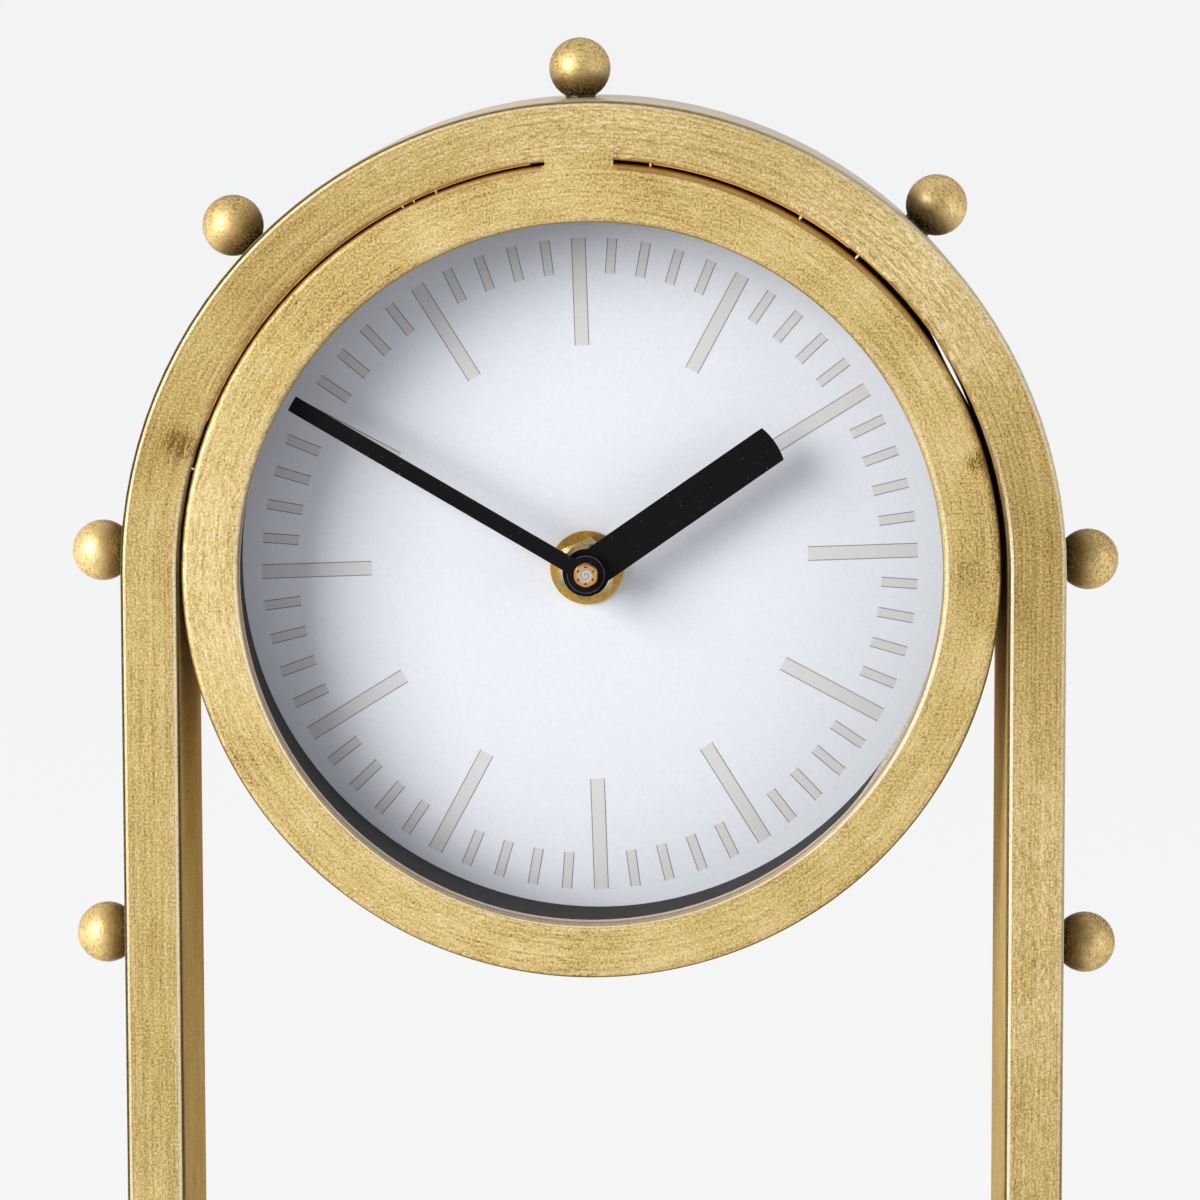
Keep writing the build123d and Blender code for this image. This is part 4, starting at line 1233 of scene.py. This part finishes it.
@dataclass
class Studio:
    """A pale floor, soft lamps, an even world and the camera, in metres and degrees."""

    floor_radius: float = 90.0
    floor_segments: int = 96
    floor_seen: str = "#606060"
    floor_bounce: str = "#DEDEDE"
    floor_roughness: float = 0.9
    backdrop: float = 0.85
    room: float = 0.32
    room_edge: Pair = (-0.3, 0.4)
    ambient: float = 0.42
    ambient_colour: str = "#EDF2FF"
    lens: float = 156.678
    sensor: float = 36.0
    sight: float = 200.0
    camera_place: Triple = (0.02114, -1.130, 0.392)
    camera_turn: Triple = (83.5806, 0.1184, 1.001)
    camera_shift: float = -0.05
    lamps: tuple[Softbox, ...] = (
        Softbox("key_softbox", (-2.1, -1.96, 1.1), (0.0, 0.0, 0.26), (1.6, 1.9), 86.0),
        Softbox("right_reflector", (1.45, -0.8, 0.4), (0.0, 0.0, 0.25), (0.9, 1.1), 5.0),
    )

    def build(self) -> None:
        """Lays the floor, hangs the lamps and sets up the world and the camera."""
        self._lay_floor()
        for lamp in self.lamps:
            lamp.build()
        self._light_world()
        self._place_camera()
        bpy.context.scene.view_settings.view_transform = "Standard"
        LOG.info("studio ready")

    def _glow(self, tree: NodeTree, depth: NodeSocket) -> Node:
        """Finds how bright the backdrop looks to a ray.

        A ray from the camera sees an even white. A ray from a glossy surface or through glass sees the same
        white behind the clock, and a dimmer room in front of it.

        Args:
            tree: The tree that asks.
            depth: How far behind the clock the ray ends, from -1 to 1.

        Returns:
            What gives the strength, which is 0 for a ray that only carries light.
        """
        rays = add_node(tree, "ShaderNodeLightPath").outputs
        mirrors = (rays["Is Glossy Ray"], rays["Is Transmission Ray"])
        indirect = add_node(tree, "ShaderNodeMath", mirrors, operation="MAXIMUM")
        room = add_node(tree, "ShaderNodeMapRange", (depth, *self.room_edge, self.room, self.backdrop))
        mirrored = add_node(tree, "ShaderNodeMath", (indirect, room), operation="MULTIPLY")
        seen = (rays["Is Camera Ray"], self.backdrop)
        direct = add_node(tree, "ShaderNodeMath", seen, operation="MULTIPLY")
        return add_node(tree, "ShaderNodeMath", (mirrored, direct), operation="MAXIMUM")

    def _lay_floor(self) -> None:
        """Lays a wide pale floor that keeps the clock's shadow."""
        mesh = bmesh.new()
        bmesh.ops.create_circle(mesh, cap_ends=True, segments=self.floor_segments, radius=self.floor_radius)
        floor = object_from(mesh, "studio_floor")
        material, shader = new_material("matt_white_floor")
        tree = material.node_tree
        camera_ray = add_node(tree, "ShaderNodeLightPath").outputs["Is Camera Ray"]
        colours = {0: camera_ray, 6: linear(self.floor_bounce), 7: linear(self.floor_seen)}
        paint = add_node(tree, "ShaderNodeMix", colours, data_type="RGBA")
        coordinates = add_node(tree, "ShaderNodeTexCoord")
        split = add_node(tree, "ShaderNodeSeparateXYZ", (coordinates.outputs["Object"],))
        glow = self._glow(tree, split.outputs["Y"])
        feed(shader, {"Base Color": paint, "Roughness": self.floor_roughness, "Specular IOR Level": 0.0})
        feed(shader, {"Emission Color": linear(WHITE), "Emission Strength": glow})
        dress(floor, material)

    def _light_world(self) -> None:
        """Makes the world an even soft light that looks pale white."""
        world = bpy.data.worlds.new("studio_world")
        world.use_nodes = True
        tree = world.node_tree
        tree.nodes.clear()
        coordinates = add_node(tree, "ShaderNodeTexCoord")
        split = add_node(tree, "ShaderNodeSeparateXYZ", (coordinates.outputs["Generated"],))
        glow = self._glow(tree, split.outputs["Y"])
        seen = add_node(tree, "ShaderNodeMath", (glow, 0.0), operation="GREATER_THAN")
        strength = add_node(tree, "ShaderNodeMix", {0: seen, 2: self.ambient, 3: glow})
        colours = {0: seen, 6: linear(self.ambient_colour), 7: linear(WHITE)}
        colour = add_node(tree, "ShaderNodeMix", colours, data_type="RGBA")
        light = add_node(tree, "ShaderNodeBackground", {"Color": colour, "Strength": strength})
        add_node(tree, "ShaderNodeOutputWorld", {"Surface": light})
        bpy.context.scene.world = world

    def _place_camera(self) -> None:
        """Places the camera where the photograph was taken from."""
        data = bpy.data.cameras.new("camera")
        data.lens = self.lens
        data.sensor_width = self.sensor
        data.shift_y = self.camera_shift
        data.clip_end = self.sight
        camera = bpy.data.objects.new("camera", data)
        camera.location = self.camera_place
        camera.rotation_euler = Euler([math.radians(angle) for angle in self.camera_turn])
        bpy.context.scene.collection.objects.link(camera)
        bpy.context.scene.camera = camera


def main() -> None:
    """Builds and dresses the clock piece by piece, and sets up the studio."""
    logging.basicConfig(level=logging.INFO, format="%(name)s: %(message)s")
    for group in (ArchFrame(), ClockHead(), Dial(), Hands(), Movement(), Base()):
        group.build()
        group.dress()
    Studio().build()


if __name__ == "__main__":
    main()
